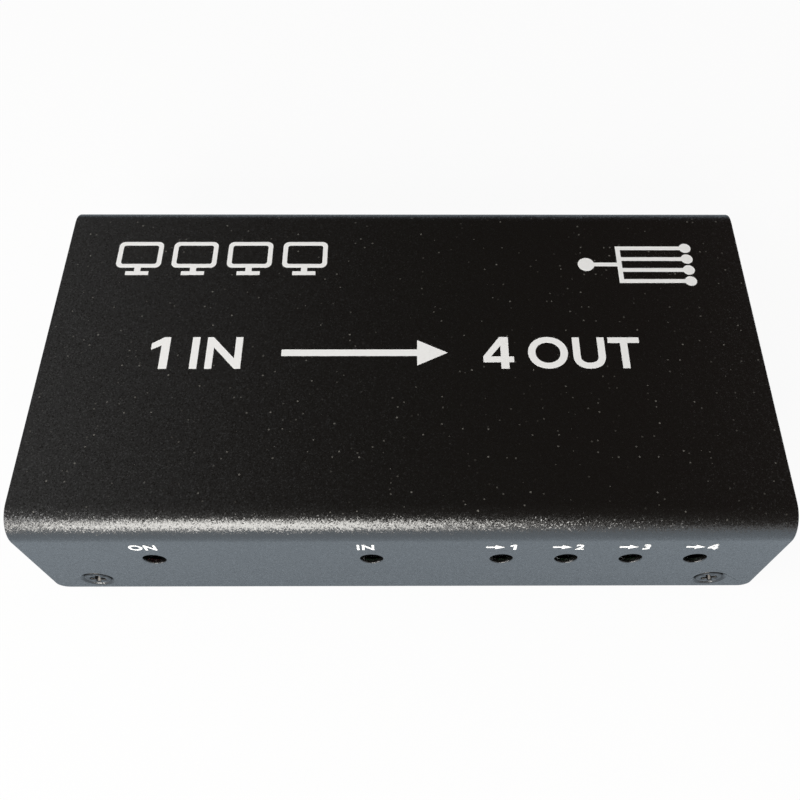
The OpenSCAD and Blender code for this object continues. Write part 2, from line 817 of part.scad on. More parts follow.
module power_inductor() {
    body = inductor_body;
    color("#3d4044") by_left_edge(inductor_at) linear_extrude(body.z) polygon([
        for (s = [[1, 1], [-1, 1], [-1, -1], [1, -1]], e = s.x * s.y > 0 ? [0, 1] : [1, 0])
            [s.x * (body.x / 2 - e * inductor_corner), s.y * (body.y / 2 - (1 - e) * inductor_corner)]
    ]);
}

// Two surge protection arrays behind each video socket
module surge_arrays() {
    array_y = socket_mouth_y + insulator_back - surge_behind;
    color("#1a1a1c") for (x = socket_xs, side = [-1, 1])
        translate([x + (side - 1 / 2) * surge_body.x, array_y, board_top]) cube(surge_body);
}

// Ceramic capacitors in a row on each side of the splitter chip
module ceramic_capacitors() {
    row_y = chip_w / 2 + chip_lead_reach + ceramic_gap;
    color("#a98a63") on_board(chip_at)
        for (turn = [0 : 3]) rotate(90 * turn)
            row(ceramic_row, ceramic_pitch) translate([-ceramic_body.x / 2, row_y, 0]) cube(ceramic_body);
}

top_cover();
base_tray();
cover_screws_front();
cover_screws_rear();
rubber_feet();
circuit_board();
board_standoffs();
board_screws();
socket_shell(0);  // socket_in_shell
socket_shell(1);  // socket_out_1_shell
socket_shell(2);  // socket_out_2_shell
socket_shell(3);  // socket_out_3_shell
socket_shell(4);  // socket_out_4_shell
socket_insulator(0);  // socket_in_insulator
socket_insulator(1);  // socket_out_1_insulator
socket_insulator(2);  // socket_out_2_insulator
socket_insulator(3);  // socket_out_3_insulator
socket_insulator(4);  // socket_out_4_insulator
socket_contacts(0);  // socket_in_contacts
socket_contacts(1);  // socket_out_1_contacts
socket_contacts(2);  // socket_out_2_contacts
socket_contacts(3);  // socket_out_3_contacts
socket_contacts(4);  // socket_out_4_contacts
jack_housing();
jack_centre_pin();
jack_sleeve_spring();
jack_sleeve_terminal();
jack_switch_contact();
lamp_at(lamp_xs[0], "#b03030");  // power_lamp
lamp_at(lamp_xs[1], "#3f9a52");  // input_lamp
lamp_at(lamp_xs[2], "#3f9a52");  // output_lamp_1
lamp_at(lamp_xs[3], "#3f9a52");  // output_lamp_2
lamp_at(lamp_xs[4], "#3f9a52");  // output_lamp_3
lamp_at(lamp_xs[5], "#3f9a52");  // output_lamp_4
lamp_leads();
splitter_chip();
splitter_chip_leads();
thermal_pad();
heat_sink();
control_chip();
clock_crystal();
voltage_regulators();
filter_capacitors();
power_inductor();
surge_arrays();
ceramic_capacitors();
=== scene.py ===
# %% [markdown]
# # A desktop video splitter
# The object is a low black box, folded from steel sheet. Lamps show through six holes in its front, five
# video sockets and a power jack open at its rear, and four rubber feet carry it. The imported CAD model
# already holds every piece at its real size, so this lesson only gives the pieces that show softer forms,
# prints and real finishes. Everything is drawn in millimetres and turned into Blender's metres at the last
# moment.

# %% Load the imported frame
import json
import math

import bmesh
import bpy
from mathutils import Matrix, Vector


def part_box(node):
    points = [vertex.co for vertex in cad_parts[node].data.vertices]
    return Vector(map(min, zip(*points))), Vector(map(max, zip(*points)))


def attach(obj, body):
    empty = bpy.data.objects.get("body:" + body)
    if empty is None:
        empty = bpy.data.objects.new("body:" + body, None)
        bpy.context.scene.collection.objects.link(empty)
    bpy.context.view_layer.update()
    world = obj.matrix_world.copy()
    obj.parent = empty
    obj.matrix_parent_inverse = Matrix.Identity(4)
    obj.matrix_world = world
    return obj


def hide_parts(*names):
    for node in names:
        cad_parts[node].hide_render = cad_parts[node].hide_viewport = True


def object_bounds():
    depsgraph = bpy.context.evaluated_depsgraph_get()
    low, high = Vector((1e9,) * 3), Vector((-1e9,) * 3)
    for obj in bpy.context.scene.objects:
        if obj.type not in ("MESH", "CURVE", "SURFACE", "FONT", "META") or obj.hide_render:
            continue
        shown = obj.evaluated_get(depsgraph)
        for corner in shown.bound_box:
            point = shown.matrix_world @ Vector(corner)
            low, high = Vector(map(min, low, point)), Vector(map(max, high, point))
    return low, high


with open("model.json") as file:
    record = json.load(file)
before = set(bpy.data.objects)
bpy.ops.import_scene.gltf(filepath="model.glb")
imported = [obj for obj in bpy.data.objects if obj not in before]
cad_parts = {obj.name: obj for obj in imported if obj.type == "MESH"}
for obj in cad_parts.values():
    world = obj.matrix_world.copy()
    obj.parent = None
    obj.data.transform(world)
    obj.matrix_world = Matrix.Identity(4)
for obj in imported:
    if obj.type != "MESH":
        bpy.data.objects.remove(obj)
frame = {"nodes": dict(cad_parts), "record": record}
cad_low, cad_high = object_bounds()
MM = 0.001
print("CAD box in mm:", [round(v / MM, 2) for v in cad_high - cad_low])

# %% [markdown]
# ## The camera
# The photograph was taken from just above the front edge, close to the box, so its front looks wider than
# its rear. The place, the three turns and the lens below were found by matching the box's eight corners
# with the picture. A little shift of the lens moves the frame without changing the perspective.

# %% Camera
def new_object(name, data):
    """An object for the data, linked into the scene."""
    thing = bpy.data.objects.new(name, data)
    bpy.context.scene.collection.objects.link(thing)
    return thing


camera_at = Vector((2.16, -88.67, 154.49)) * MM
yaw, look_down, roll = (math.radians(degrees) for degrees in (-0.768, 61.967, 0.607))
pan, dip = Matrix.Rotation(yaw, 4, "Z"), Matrix.Rotation(math.pi / 2 - look_down, 4, "X")
camera = new_object("camera", bpy.data.cameras.new("camera"))
camera.data.sensor_width = 36.0
camera.data.lens = 37.905
camera.data.shift_x = -0.026
camera.data.shift_y = 0.0698
camera.data.clip_start = 0.005
camera.matrix_world = Matrix.Translation(camera_at) @ pan @ dip @ Matrix.Rotation(roll, 4, "Z")
bpy.context.scene.camera = camera
print("camera stands", round(camera_at.z / MM), "mm above the table")

# %% [markdown]
# ## Small tools for nodes
# Every material and every Geometry Nodes rule is a tree of nodes. One function adds a node, sets its
# options and fills its inputs, either with a value or with a link from another node. One turns a colour as
# it is written for the screen, an sRGB hex value, into the linear light that the shaders calculate with.
# With their help, three more blend two colours, move a value from one range to another and do sums.

# %% Node helpers
def linear(hex_colour):
    """An sRGB hex colour as linear red, green, blue and alpha."""
    shares = [int(hex_colour[at:at + 2], 16) / 255 for at in (1, 3, 5)]
    return (*(s / 12.92 if s <= 0.04045 else ((s + 0.055) / 1.055) ** 2.4 for s in shares), 1.0)


def add(tree, kind, inputs=None, **options):
    """Adds a node with its options, and with a value or a link on each named or numbered input."""
    node = tree.nodes.new(kind)
    for name, value in options.items():
        setattr(node, name, value)
    for socket, value in (inputs or {}).items():
        if isinstance(value, bpy.types.NodeSocket):
            tree.links.new(value, node.inputs[socket])
        else:
            node.inputs[socket].default_value = value
    return node


def blend(tree, share, first, second):
    """A mix of two colours, each a hex value or a socket."""
    first, second = (linear(c) if isinstance(c, str) else c for c in (first, second))
    return add(tree, "ShaderNodeMix", {0: share, 6: first, 7: second}, data_type="RGBA").outputs[2]


def ranged(tree, value, before, after=(0, 1), easing="LINEAR"):
    """A value moved from the range that it has to another one."""
    limits = {"Value": value, "From Min": before[0], "From Max": before[1]}
    limits.update({"To Min": after[0], "To Max": after[1]})
    return add(tree, "ShaderNodeMapRange", limits, interpolation_type=easing).outputs[0]


def maths(tree, operation, *values, kind="Math"):
    """The result of a sum with values or sockets, or with vectors if the kind is VectorMath."""
    return add(tree, "ShaderNode" + kind, dict(enumerate(values)), operation=operation).outputs[0]


print("white is", linear("#ffffff")[:3])

# %% [markdown]
# ## The case's paint
# Such cases get a fine-texture powder coat: black powder is sprayed on dry and melts in an oven to a skin
# of fine grains. Each grain is a small mirror that leans its own way, so a highlight breaks into sparkles.
# On the top, pale dots painted into the colour stand for grains that catch the light: painted glints.
# A photograph of real paint would be quick, but it has one scale and one light in it, so three patterns
# draw the coat instead. The first is noise, which gives the skin a soft swell in gloss and height.

# %% Powder coat
def new_finish(name):
    """An empty material, its tree and its shader."""
    material = bpy.data.materials.new(name)
    material.use_nodes = True
    return material, material.node_tree, material.node_tree.nodes["Principled BSDF"]


SWELL_W, SWELL_DEPTH = 0.4, 0.015
COAT_IOR, COAT_GLOSS = 1.8, (0.21, 0.31)
finishes = {}
coat, tree, surface = new_finish("black fine-texture powder coat")
place = add(tree, "ShaderNodeTexCoord").outputs["Object"]
swell = {"Vector": place, "Scale": 1 / (SWELL_W * MM), "Detail": 1.0}
swell = add(tree, "ShaderNodeTexNoise", swell).outputs[0]
gloss = ranged(tree, swell, (0, 1), COAT_GLOSS)
relief = add(tree, "ShaderNodeBump", {"Height": swell, "Distance": SWELL_DEPTH * MM}).outputs[0]
print("the coat swells every", SWELL_W, "mm")

# %% [markdown]
# The second pattern holds the painted glints: pale dots painted into the colour, on the top only. A Voronoi
# pattern has one point in each of its cells, and a random colour for each cell. Near its point a cell shows
# a dot, if its random red says so and if it lies on the top, and its random green says how pale the dot is.

# %% Painted glints on the top of the coat
DOT_STEP, DOT_W, DOT_SHARE, DOT_FADE = 1.1, 0.34, 0.4, 2.0
TOP_SKIN = 1.0
cells = add(tree, "ShaderNodeTexVoronoi", {"Vector": place, "Scale": 1 / (DOT_STEP * MM)}).outputs
luck = add(tree, "ShaderNodeSeparateColor", {"Color": cells["Color"]}).outputs
height = add(tree, "ShaderNodeSeparateXYZ", {"Vector": place}).outputs["Z"]
near = maths(tree, "LESS_THAN", cells["Distance"], DOT_W / DOT_STEP / 2)
chosen = maths(tree, "LESS_THAN", luck["Red"], DOT_SHARE)
on_top = maths(tree, "GREATER_THAN", height, cad_high.z - TOP_SKIN * MM)
# Pale dots on the top only are painted glints, standing for grains that catch the light.
painted_glint_mask = maths(tree, "MULTIPLY", maths(tree, "MULTIPLY", near, chosen), on_top)
few_bright = maths(tree, "POWER", luck["Green"], DOT_FADE)
pale = blend(tree, few_bright, "#181614", "#6a6863")
colour = blend(tree, painted_glint_mask, "#0c0b0a", pale)
print("a dot every", DOT_STEP, "mm, where a share of", DOT_SHARE, "shows")

# %% [markdown]
# The third pattern leans the grains. Each cell of a fine Voronoi pattern has a random colour, which is read
# as a direction between -1 and 1 on every axis. Its cube is small for most grains and large for a few, so
# most lie nearly flat and a few lean far. The lean is added to the surface's normal. Real grains are about
# half as wide, but wouldn't show in the picture.

# %% Leaning grains of the coat
GRAIN_W, GRAIN_LEAN = 0.18, 0.15
grains = add(tree, "ShaderNodeTexVoronoi", {"Vector": place, "Scale": 1 / (GRAIN_W * MM)}).outputs["Color"]
lean = maths(tree, "MULTIPLY_ADD", grains, (2, 2, 2), (-1, -1, -1), kind="VectorMath")
square = maths(tree, "MULTIPLY", lean, lean, kind="VectorMath")
cube = maths(tree, "MULTIPLY", lean, square, kind="VectorMath")
normal = maths(tree, "MULTIPLY_ADD", cube, (GRAIN_LEAN,) * 3, relief, kind="VectorMath")
normal = maths(tree, "NORMALIZE", normal, kind="VectorMath")
for socket, value in (("Base Color", colour), ("Roughness", gloss), ("Normal", normal)):
    tree.links.new(value, surface.inputs[socket])
surface.inputs["IOR"].default_value = COAT_IOR
finishes["case_paint"] = coat
print("grains of", GRAIN_W, "mm,", len(tree.nodes), "nodes in", coat.name)

# %% [markdown]
# ## The other finishes
# Most other surfaces differ in the same few ways: two shades that mingle, a grain size, a range of
# roughness and a depth of relief. One recipe takes these from a row of values, and a stretch along one axis
# turns round grains into the lines that rolling or brushing leaves. Metals keep the shader's usual IOR.

# %% Finish recipe
def grained(name, dark, light, grain_mm, roughness, relief_mm, stretch=(1, 1, 1), **sockets):
    """A surface of two mingled shades, with grains of one size in its gloss and relief."""
    material, tree, surface = new_finish(name)
    place = add(tree, "ShaderNodeTexCoord").outputs["Object"]
    place = add(tree, "ShaderNodeMapping", {"Vector": place, "Scale": stretch}).outputs[0]
    noise = {"Vector": place, "Scale": 1 / (grain_mm * MM), "Detail": 3.0}
    grain = add(tree, "ShaderNodeTexNoise", noise).outputs[0]
    colour = blend(tree, grain, dark, light)
    gloss = ranged(tree, grain, (0, 1), roughness)
    relief = add(tree, "ShaderNodeBump", {"Height": grain, "Distance": relief_mm * MM}).outputs[0]
    for socket, value in (("Base Color", colour), ("Roughness", gloss), ("Normal", relief)):
        tree.links.new(value, surface.inputs[socket])
    for socket, value in sockets.items():
        surface.inputs[socket.replace("_", " ")].default_value = value
    return material


print("a finish can set", len(surface.inputs), "sockets of the shader")

# %% [markdown]
# ## Metals
# Plating gives a metal its colour, and the strip, wire or bar under it gives the gloss and its lines. Each
# row below holds what the recipe asks for, in the same order.

# %% Metals
METALS = {
    # Black nickel keeps the mirror of polished steel, but darkens it to a brownish grey.
    "dark_screw": ("black nickel plated steel", "#1f1e1d", "#413f3d", 0.5, (0.14, 0.3), 0.006),
    # Bright zinc is a pale, slightly blue grey with a soft cloud in its gloss.
    "bright_screw": ("zinc plated steel", "#b4b8bc", "#d2d5d8", 0.8, (0.2, 0.4), 0.003),
    # Cold rolled strip under nickel shows faint lines along the direction that it was rolled in.
    "socket_steel": (
        "nickel plated rolled steel", "#aeaca6", "#cfcdc7", 0.25, (0.2, 0.36), 0.002, (1, 0.06, 1)),
    # A flash of gold over nickel is warm and almost a mirror.
    "contact_gold": ("gold flashed bronze", "#c99b3c", "#e8c268", 0.2, (0.16, 0.28), 0.001),
    # Turned brass has fine rings from the cutter and dulls a little.
    "standoff_brass": ("turned brass", "#a98838", "#d0b062", 0.15, (0.25, 0.42), 0.003, (0.2, 0.2, 1)),
    # Tin over brass is a soft grey with a hint of yellow.
    "terminal_metal": ("tinned brass", "#a9a292", "#c6c0b0", 0.4, (0.26, 0.45), 0.003),
    # Nickel on a turned pin is bright and a little yellower than chrome.
    "pin_metal": ("nickel plated brass", "#b9b6ae", "#d8d5cd", 0.2, (0.12, 0.26), 0.002),
    # Hot tinned copper wire has the frosted grey of solder.
    "tinned_wire": ("tinned copper wire", "#b2b4b5", "#d0d2d2", 0.3, (0.24, 0.44), 0.004),
    # A deep drawn can shows faint lines from the die.
    "can_aluminium": ("drawn aluminium can", "#a9adb2", "#c9ccd0", 0.2, (0.22, 0.4), 0.002, (1, 1, 0.08)),
    # The crystal's can is pressed and plated like the sockets, but brighter.
    "crystal_can": ("nickel plated pressed can", "#bcbcb9", "#d8d8d5", 0.4, (0.14, 0.26), 0.002),
}
for slot, row in METALS.items():
    finishes[slot] = grained(*row, Metallic=1.0)
# Black anodised aluminium is a dyed oxide skin: dark, satin, with the lines of the extrusion in it.
finishes["sink_aluminium"] = grained(
    "black anodised aluminium", "#1a1a1c", "#2c2c2f", 0.2, (0.35, 0.5), 0.004, (1, 0.05, 1), Metallic=0.6)
print(len(finishes), "finishes so far")

# %% [markdown]
# ## Mouldings, laminate and lenses
# Rubber, plastic and lacquer have a body colour under a clear skin, which is what the shader takes for
# granted. The lamps' lenses also let light through.

# %% Mouldings, laminate and lenses
MOULDINGS = {
    # Moulded rubber is matt, nearly black, and bruises to a faint grey bloom.
    "foot_rubber": ("moulded rubber", "#141413", "#201f1e", 0.5, (0.62, 0.85), 0.012),
    # Glass-filled nylon comes out of its mould satin black, with short fibres near its skin.
    "socket_plastic": ("glass filled nylon", "#131314", "#1f1f21", 0.2, (0.38, 0.55), 0.006),
    # The jack is moulded in a polished tool, so it has some gloss.
    "jack_plastic": ("moulded polyester", "#111112", "#1a1a1c", 0.35, (0.26, 0.4), 0.006),
    # Chips are moulded in silica-filled epoxy, which is matt and finely speckled.
    "chip_plastic": ("moulded epoxy", "#18181a", "#2a2a2c", 0.12, (0.5, 0.7), 0.006),
    # A heat pad is soft grey silicone filled with ceramic powder.
    "pad_silicone": ("filled silicone pad", "#6b7780", "#8a96a0", 0.4, (0.6, 0.8), 0.01),
    # Ferrite is pressed and fired like pottery: dark grey, dull and gritty.
    "inductor_core": ("fired ferrite", "#2e3033", "#46494d", 0.2, (0.55, 0.8), 0.012),
    # A ceramic capacitor is a fired brown block.
    "capacitor_ceramic": ("fired ceramic", "#8c6a44", "#b08c60", 0.25, (0.4, 0.6), 0.006),
}
for slot, row in MOULDINGS.items():
    finishes[slot] = grained(*row)
# Solder mask is a thin green lacquer over the woven glass, glossy and slightly wavy.
finishes["board_laminate"] = grained(
    "green solder mask on glass laminate", "#12351f", "#1d4a2c", 1.2, (0.22, 0.36), 0.01, Coat_Weight=0.3)
# A lamp's lens is cast epoxy, dyed through and clear enough to glow.
for slot, name, dark, light in (
        ("lamp_red", "red cast epoxy", "#6a120d", "#8a1c15"),
        ("lamp_green", "green cast epoxy", "#12501f", "#1c6e31")):
    finishes[slot] = grained(name, dark, light, 1.5, (0.08, 0.16), 0.002, IOR=1.55, Transmission_Weight=0.6)
# Screen ink lies on the paint as a thick white film, flat but not quite even.
ink = grained("white screen ink", "#f6f6f4", "#ffffff", 0.5, (0.42, 0.58), 0.004)

# %% [markdown]
# ## Dressing the pieces that stay as the CAD made them
# The board and what sits on it are seen only through the vents and the sockets, so their CAD shapes are
# good enough. The record says which finish each node has, so one loop gives every node its material.

# %% Dress the CAD nodes
for row in frame["record"]["subparts"]:
    frame["nodes"][row["node"]].material_slots[0].material = finishes[row["material_slot"]]

# %% [markdown]
# ## Tools for shapes
# A prism is an outline pushed along one axis, and a turned shape is a half outline spun round an axis. Both
# are drawn in millimetres in bmesh, Blender's mesh workbench, and become an object once they are whole. A
# corner is rounded by the arc that touches both of its sides.

# %% Outline helpers
def arc(centre, radius, start, stop, steps=12):
    """Points of an arc, with its angles in degrees."""
    angles = [math.radians(start + (stop - start) * k / steps) for k in range(steps + 1)]
    return [(centre[0] + radius * math.cos(a), centre[1] + radius * math.sin(a)) for a in angles]


def circle(centre, radius, steps=24):
    """Points of a full circle, without its first one twice."""
    return arc(centre, radius, 0, 360, steps)[:-1]


def rectangle(low, high):
    """The four corners between the lowest and the highest one."""
    return [low, (high[0], low[1]), high, (low[0], high[1])]


def rounded(outline, radius, steps=6):
    """The outline with an arc at each of its corners."""
    points = []
    corners = [Vector(p) for p in outline]
    for at, corner in enumerate(corners):
        back = (corners[at - 1] - corner).normalized()
        ahead = (corners[(at + 1) % len(corners)] - corner).normalized()
        half = back.angle(ahead) / 2
        centre = corner + (back + ahead).normalized() * radius / math.sin(half)
        first = corner + back * radius / math.tan(half) - centre
        last = corner + ahead * radius / math.tan(half) - centre
        points += [tuple(centre + first.slerp(last, k / steps) * radius) for k in range(steps + 1)]
    return points


print("a quarter circle has", len(arc((0, 0), 1, 0, 90)), "points")

# %% Solid helpers
MERGE = 0.0005


def prism(shape, outline, axis, low, high):
    """Adds to a bmesh a closed prism along X, Y or Z, with its outline in the other two."""
    def at(p, h):
        return {"X": (h, p[0], p[1]), "Y": (p[0], h, p[1]), "Z": (p[0], p[1], h)}[axis]
    bottom = [shape.verts.new(at(p, low)) for p in outline]
    top = [shape.verts.new(at(p, high)) for p in outline]
    shape.faces.new(bottom)
    shape.faces.new(top)
    for k in range(len(outline)):
        shape.faces.new((bottom[k - 1], bottom[k], top[k], top[k - 1]))


def to_object(name, shape, material=None):
    """Closes a bmesh in millimetres and makes it an object in metres."""
    bmesh.ops.remove_doubles(shape, verts=shape.verts, dist=MERGE)
    bmesh.ops.recalc_face_normals(shape, faces=shape.faces)
    bmesh.ops.scale(shape, vec=(MM, MM, MM), verts=shape.verts)
    mesh = bpy.data.meshes.new(name)
    shape.to_mesh(mesh)
    shape.free()
    if material:
        mesh.materials.append(material)
    return new_object(name, mesh)


def turned(name, profile, steps=48):
    """An object spun round Z from (radius, height) points, the first and the last of them on Z."""
    shape = bmesh.new()
    line = [shape.verts.new((r, 0, h)) for r, h in profile]
    edges = [shape.edges.new(pair) for pair in zip(line, line[1:])]
    bmesh.ops.spin(shape, geom=line + edges, axis=(0, 0, 1), angle=2 * math.pi, steps=steps, use_merge=True)
    return to_object(name, shape)


def rod(radius, low, high, steps=48):
    """A round bar along Z."""
    return turned("rod", [(0, low), (radius, low), (radius, high), (0, high)], steps)


def box_mm(node):
    """Lowest and highest corner of a CAD node, and its middle, in millimetres."""
    low, high = (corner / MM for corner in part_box(node))
    return low, high, (low + high) / 2


print("the cover's middle in mm:", [round(v, 1) for v in box_mm("top_cover")[2]])

# %% [markdown]
# ## Tools for finishing
# A modifier is worked out once and its result kept as a plain mesh, so that nothing is left to calculate
# later. A Boolean cuts one shape out of another. Sheet metal never has a perfectly sharp edge: a small
# bevel catches the light there, and weighted normals keep the flats flat beside it.

# %% Finishing helpers
SHARP = 35


def settle_mesh(piece):
    """Keeps what the modifiers make as the piece's own mesh."""
    graph = bpy.context.evaluated_depsgraph_get()
    piece.data = bpy.data.meshes.new_from_object(piece.evaluated_get(graph))
    piece.modifiers.clear()


def combine(piece, tool, operation):
    """Cuts a tool shape out of a piece, or joins it on, and takes the tool away."""
    cut = piece.modifiers.new("cut", "BOOLEAN")
    cut.operation = operation
    cut.solver = "EXACT"
    cut.object = tool
    settle_mesh(piece)
    bpy.data.objects.remove(tool)


def soften(piece, edge_mm):
    """Rounds the sharp edges and shades the rest smoothly."""
    piece.data.shade_smooth()
    edge = piece.modifiers.new("edge", "BEVEL")
    edge.width = edge_mm * MM
    edge.segments = 2
    edge.limit_method = "ANGLE"
    edge.angle_limit = math.radians(SHARP)
    edge.use_clamp_overlap = False
    piece.modifiers.new("shade", "WEIGHTED_NORMAL")
    settle_mesh(piece)


def fit_on(piece, slot, *nodes):
    """Lets the piece ride on the case and stand for CAD nodes. The slot is not used."""
    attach(piece, "splitter")
    if nodes:
        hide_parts(*nodes)
    print(piece.name, "has", len(piece.data.polygons), "faces")


print("edges sharper than", SHARP, "degrees will be rounded")

# %% [markdown]
# ## A rule for folded sheet
# The cover, the tray and the socket shells are all made the same way: a flat strip is folded along a line.
# Geometry Nodes can say exactly that. A line of straight edges goes in, Fillet Curve rounds its corners to
# the bend radius, and Curve to Mesh carries the sheet's thin rectangular section along it.

# %% Folded sheet rule
def new_rule(name, sizes):
    """A Geometry Nodes tree with named inputs, and those inputs as sockets."""
    tree = bpy.data.node_groups.new(name, "GeometryNodeTree")
    for label, kind in {"Geometry": "Geometry", **sizes, "Material": "Material"}.items():
        tree.interface.new_socket(label, in_out="INPUT", socket_type="NodeSocket" + kind)
    tree.interface.new_socket("Geometry", in_out="OUTPUT", socket_type="NodeSocketGeometry")
    return tree, add(tree, "NodeGroupInput").outputs


def close_rule(tree, given, geometry):
    """Ends a rule: instances become real, and all faces get the material."""
    real = add(tree, "GeometryNodeRealizeInstances", {"Geometry": geometry}).outputs[0]
    dressed = {"Geometry": real, "Material": given["Material"]}
    add(tree, "NodeGroupOutput", {"Geometry": add(tree, "GeometryNodeSetMaterial", dressed).outputs[0]})


def grow(name, host, rule, sizes):
    """Runs a rule on a host mesh and returns the result as an object with a plain mesh."""
    piece = new_object(name, host)
    modifier = piece.modifiers.new("rule", "NODES")
    modifier.node_group = rule
    for socket in rule.interface.items_tree:
        if socket.in_out == "INPUT" and socket.name in sizes:
            modifier[socket.identifier] = sizes[socket.name]
    settle_mesh(piece)
    return piece


sheet_sizes = {"Bend radius": "Float", "Bend steps": "Int", "Section X": "Float", "Section Y": "Float"}
sheet_rule, given = new_rule("Folded sheet", sheet_sizes)
line = add(sheet_rule, "GeometryNodeMeshToCurve", {"Mesh": given["Geometry"]}).outputs[0]
bends = {"Curve": line, "Radius": given["Bend radius"], "Count": given["Bend steps"]}
bent = add(sheet_rule, "GeometryNodeFilletCurve", bends, mode="POLY").outputs[0]
sides = {"Width": given["Section X"], "Height": given["Section Y"]}
section = add(sheet_rule, "GeometryNodeCurvePrimitiveQuadrilateral", sides).outputs[0]
swept = {"Curve": bent, "Profile Curve": section, "Fill Caps": True}
close_rule(sheet_rule, given, add(sheet_rule, "GeometryNodeCurveToMesh", swept).outputs[0])


def fold(name, points, bend_r, section, material, closed=False, steps=14):
    """A folded sheet along points in millimetres, with its section's two sides across the line."""
    count = len(points)
    links = [(k, (k + 1) % count) for k in range(count if closed else count - 1)]
    host = bpy.data.meshes.new(name)
    host.from_pydata([Vector(p) * MM for p in points], links, [])
    sizes = {"Bend radius": bend_r * MM, "Bend steps": steps, "Material": material}
    sizes.update({"Section X": section[0] * MM, "Section Y": section[1] * MM})
    piece = grow(name, host, sheet_rule, sizes)
    shape = bmesh.new()
    shape.from_mesh(piece.data)
    bmesh.ops.recalc_face_normals(shape, faces=shape.faces)
    shape.to_mesh(piece.data)
    shape.free()
    return piece


print("rule", sheet_rule.name, "has", len(sheet_rule.nodes), "nodes")

# %% [markdown]
# ## A rule for copies
# Screws, feet, lamps, sockets, holes and vents all repeat. Each place is one vertex of a host mesh, and an
# attribute on it says which way the copy faces. Instance on Points sets the copies there, and they become
# real at the end.

# %% Copies rule
copies_rule, given = new_rule("Copies at places", {"Part": "Object"})
part = add(copies_rule, "GeometryNodeObjectInfo", {"Object": given["Part"]}).outputs["Geometry"]
facing = {"Name": "facing"}
facing = add(copies_rule, "GeometryNodeInputNamedAttribute", facing, data_type="FLOAT_VECTOR").outputs[0]
turn = add(copies_rule, "FunctionNodeEulerToRotation", {"Euler": facing}).outputs[0]
spots = {"Points": given["Geometry"], "Instance": part, "Rotation": turn}
close_rule(copies_rule, given, add(copies_rule, "GeometryNodeInstanceOnPoints", spots).outputs[0])
UPRIGHT = Matrix.Identity(3)
TO_FRONT = Matrix.Rotation(math.pi / 2, 3, "X")
TO_REAR = Matrix.Rotation(math.pi, 3, "Z") @ TO_FRONT


def copies(name, part, places, material=None):
    """Copies of a part at (point, facing) places in millimetres, as one piece."""
    host = bpy.data.meshes.new(name)
    host.from_pydata([Vector(point) * MM for point, _ in places], [], [])
    turns = host.attributes.new("facing", "FLOAT_VECTOR", "POINT")
    for spot, (_, facing) in zip(turns.data, places):
        spot.vector = facing.to_euler("XYZ")
    piece = grow(name, host, copies_rule, {"Part": part, "Material": material})
    bpy.data.objects.remove(part)
    return piece


print("rule", copies_rule.name, "has", len(copies_rule.nodes), "nodes")

# %% [markdown]
# ## The top cover
# One strip of steel makes the front, the top and the rear, with two long bends of 5 mm radius between them.
# The prints lie 0.03 mm proud of the paint, so the sheet is that much thinner than the CAD's, and the whole
# stays in the CAD box.

# %% Cover sheet
SHEET, INK_PROUD, EDGE = 1.0, 0.03, 0.16
COVER_BEND, LOWER_CORNER = 5.0, 2.0
cover_low, cover_high, cover_mid = box_mm("top_cover")
painted = SHEET - INK_PROUD
half_depth = cover_high.y - INK_PROUD - painted / 2
roof = cover_high.z - INK_PROUD - painted / 2
rear_line = [(0, half_depth, roof), (0, half_depth, cover_low.z)]
cover_line = [(x, -y, z) for x, y, z in rear_line[::-1]] + rear_line
width = cover_high.x - cover_low.x
cover = fold("top_cover_sheet", cover_line, COVER_BEND - INK_PROUD - painted / 2, (width, painted), coat)
print("cover is", round(width, 2), "mm wide and its sheet", painted, "mm thick")

# %% [markdown]
# Holes are cut after folding, as Booleans: round ones for the lamps and the power plug, five windows for
# the sockets, and countersinks for the screws, whose walls slope at 45 degrees. The lower corners are
# rounded by cutting away what lies outside an arc.

# %% Cover holes
LAMP_HOLE, JACK_HOLE, JACK_RISE = 4.0, 8.0, 4.5
COUNTERSINK, SCREW_HEAD = 6.1, 5.5
SHELL_WALL = 0.35
lamps = ["power_lamp", "input_lamp"] + [f"output_lamp_{k}" for k in range(1, 5)]
sockets = ["socket_in"] + [f"socket_out_{k}" for k in range(1, 5)]
lamp_places = [Vector((middle.x, cover_low.y, middle.z)) for _, _, middle in map(box_mm, lamps)]
socket_boxes = [box_mm(socket + "_shell") for socket in sockets]
socket_places = [Vector((middle.x, 0, high.z - SHELL_WALL)) for _, high, middle in socket_boxes]
_, jack_high, jack_mid = box_mm("jack_housing")
jack_axis = Vector((jack_mid.x, cover_high.y, jack_high.z - JACK_RISE))
_, screw_high, screw_mid = box_mm("cover_screws_front")
screw_x = screw_high.x - SCREW_HEAD / 2
print("lamps at x", [round(p.x, 1) for p in lamp_places])
print("sockets at x", [round(p.x, 1) for p in socket_places])

# %% Cover cutters
# Each cutting shape reaches PAST millimetres beyond the sheet on both sides.
PAST = 1.0
WINDOW_GAP, WINDOW_CORNER = 0.4, 0.8
OPENING_W, OPENING_H, OPENING_TAPER = 14.0, 4.55, 1.7


def corner_waste(corner, inward, radius, steps=8):
    """What lies outside the arc that rounds a corner; inward is the sign of the way in, for both axes."""
    centre = Vector((corner[0] + inward[0] * radius, corner[1] + inward[1] * radius))
    first, last = Vector((0, -inward[1])), Vector((-inward[0], 0))
    bow = [tuple(centre + first.slerp(last, k / steps) * radius) for k in range(steps + 1)]
    out = [corner[k] - inward[k] * PAST for k in (0, 1)]
    return [tuple(out), (centre.x, out[1]), *bow, (out[0], centre.y)]


def socket_line(grown):
    """Outline of a video socket round its opening, from the middle of the opening's top edge."""
    slant = (math.sqrt(2) - 1) * grown
    side, foot = OPENING_W / 2 + grown, OPENING_W / 2 - OPENING_TAPER + slant
    low, knee = -OPENING_H - grown, -OPENING_H + OPENING_TAPER - slant
    return [(-foot, low), (foot, low), (side, knee), (side, grown), (-side, grown), (-side, knee)]


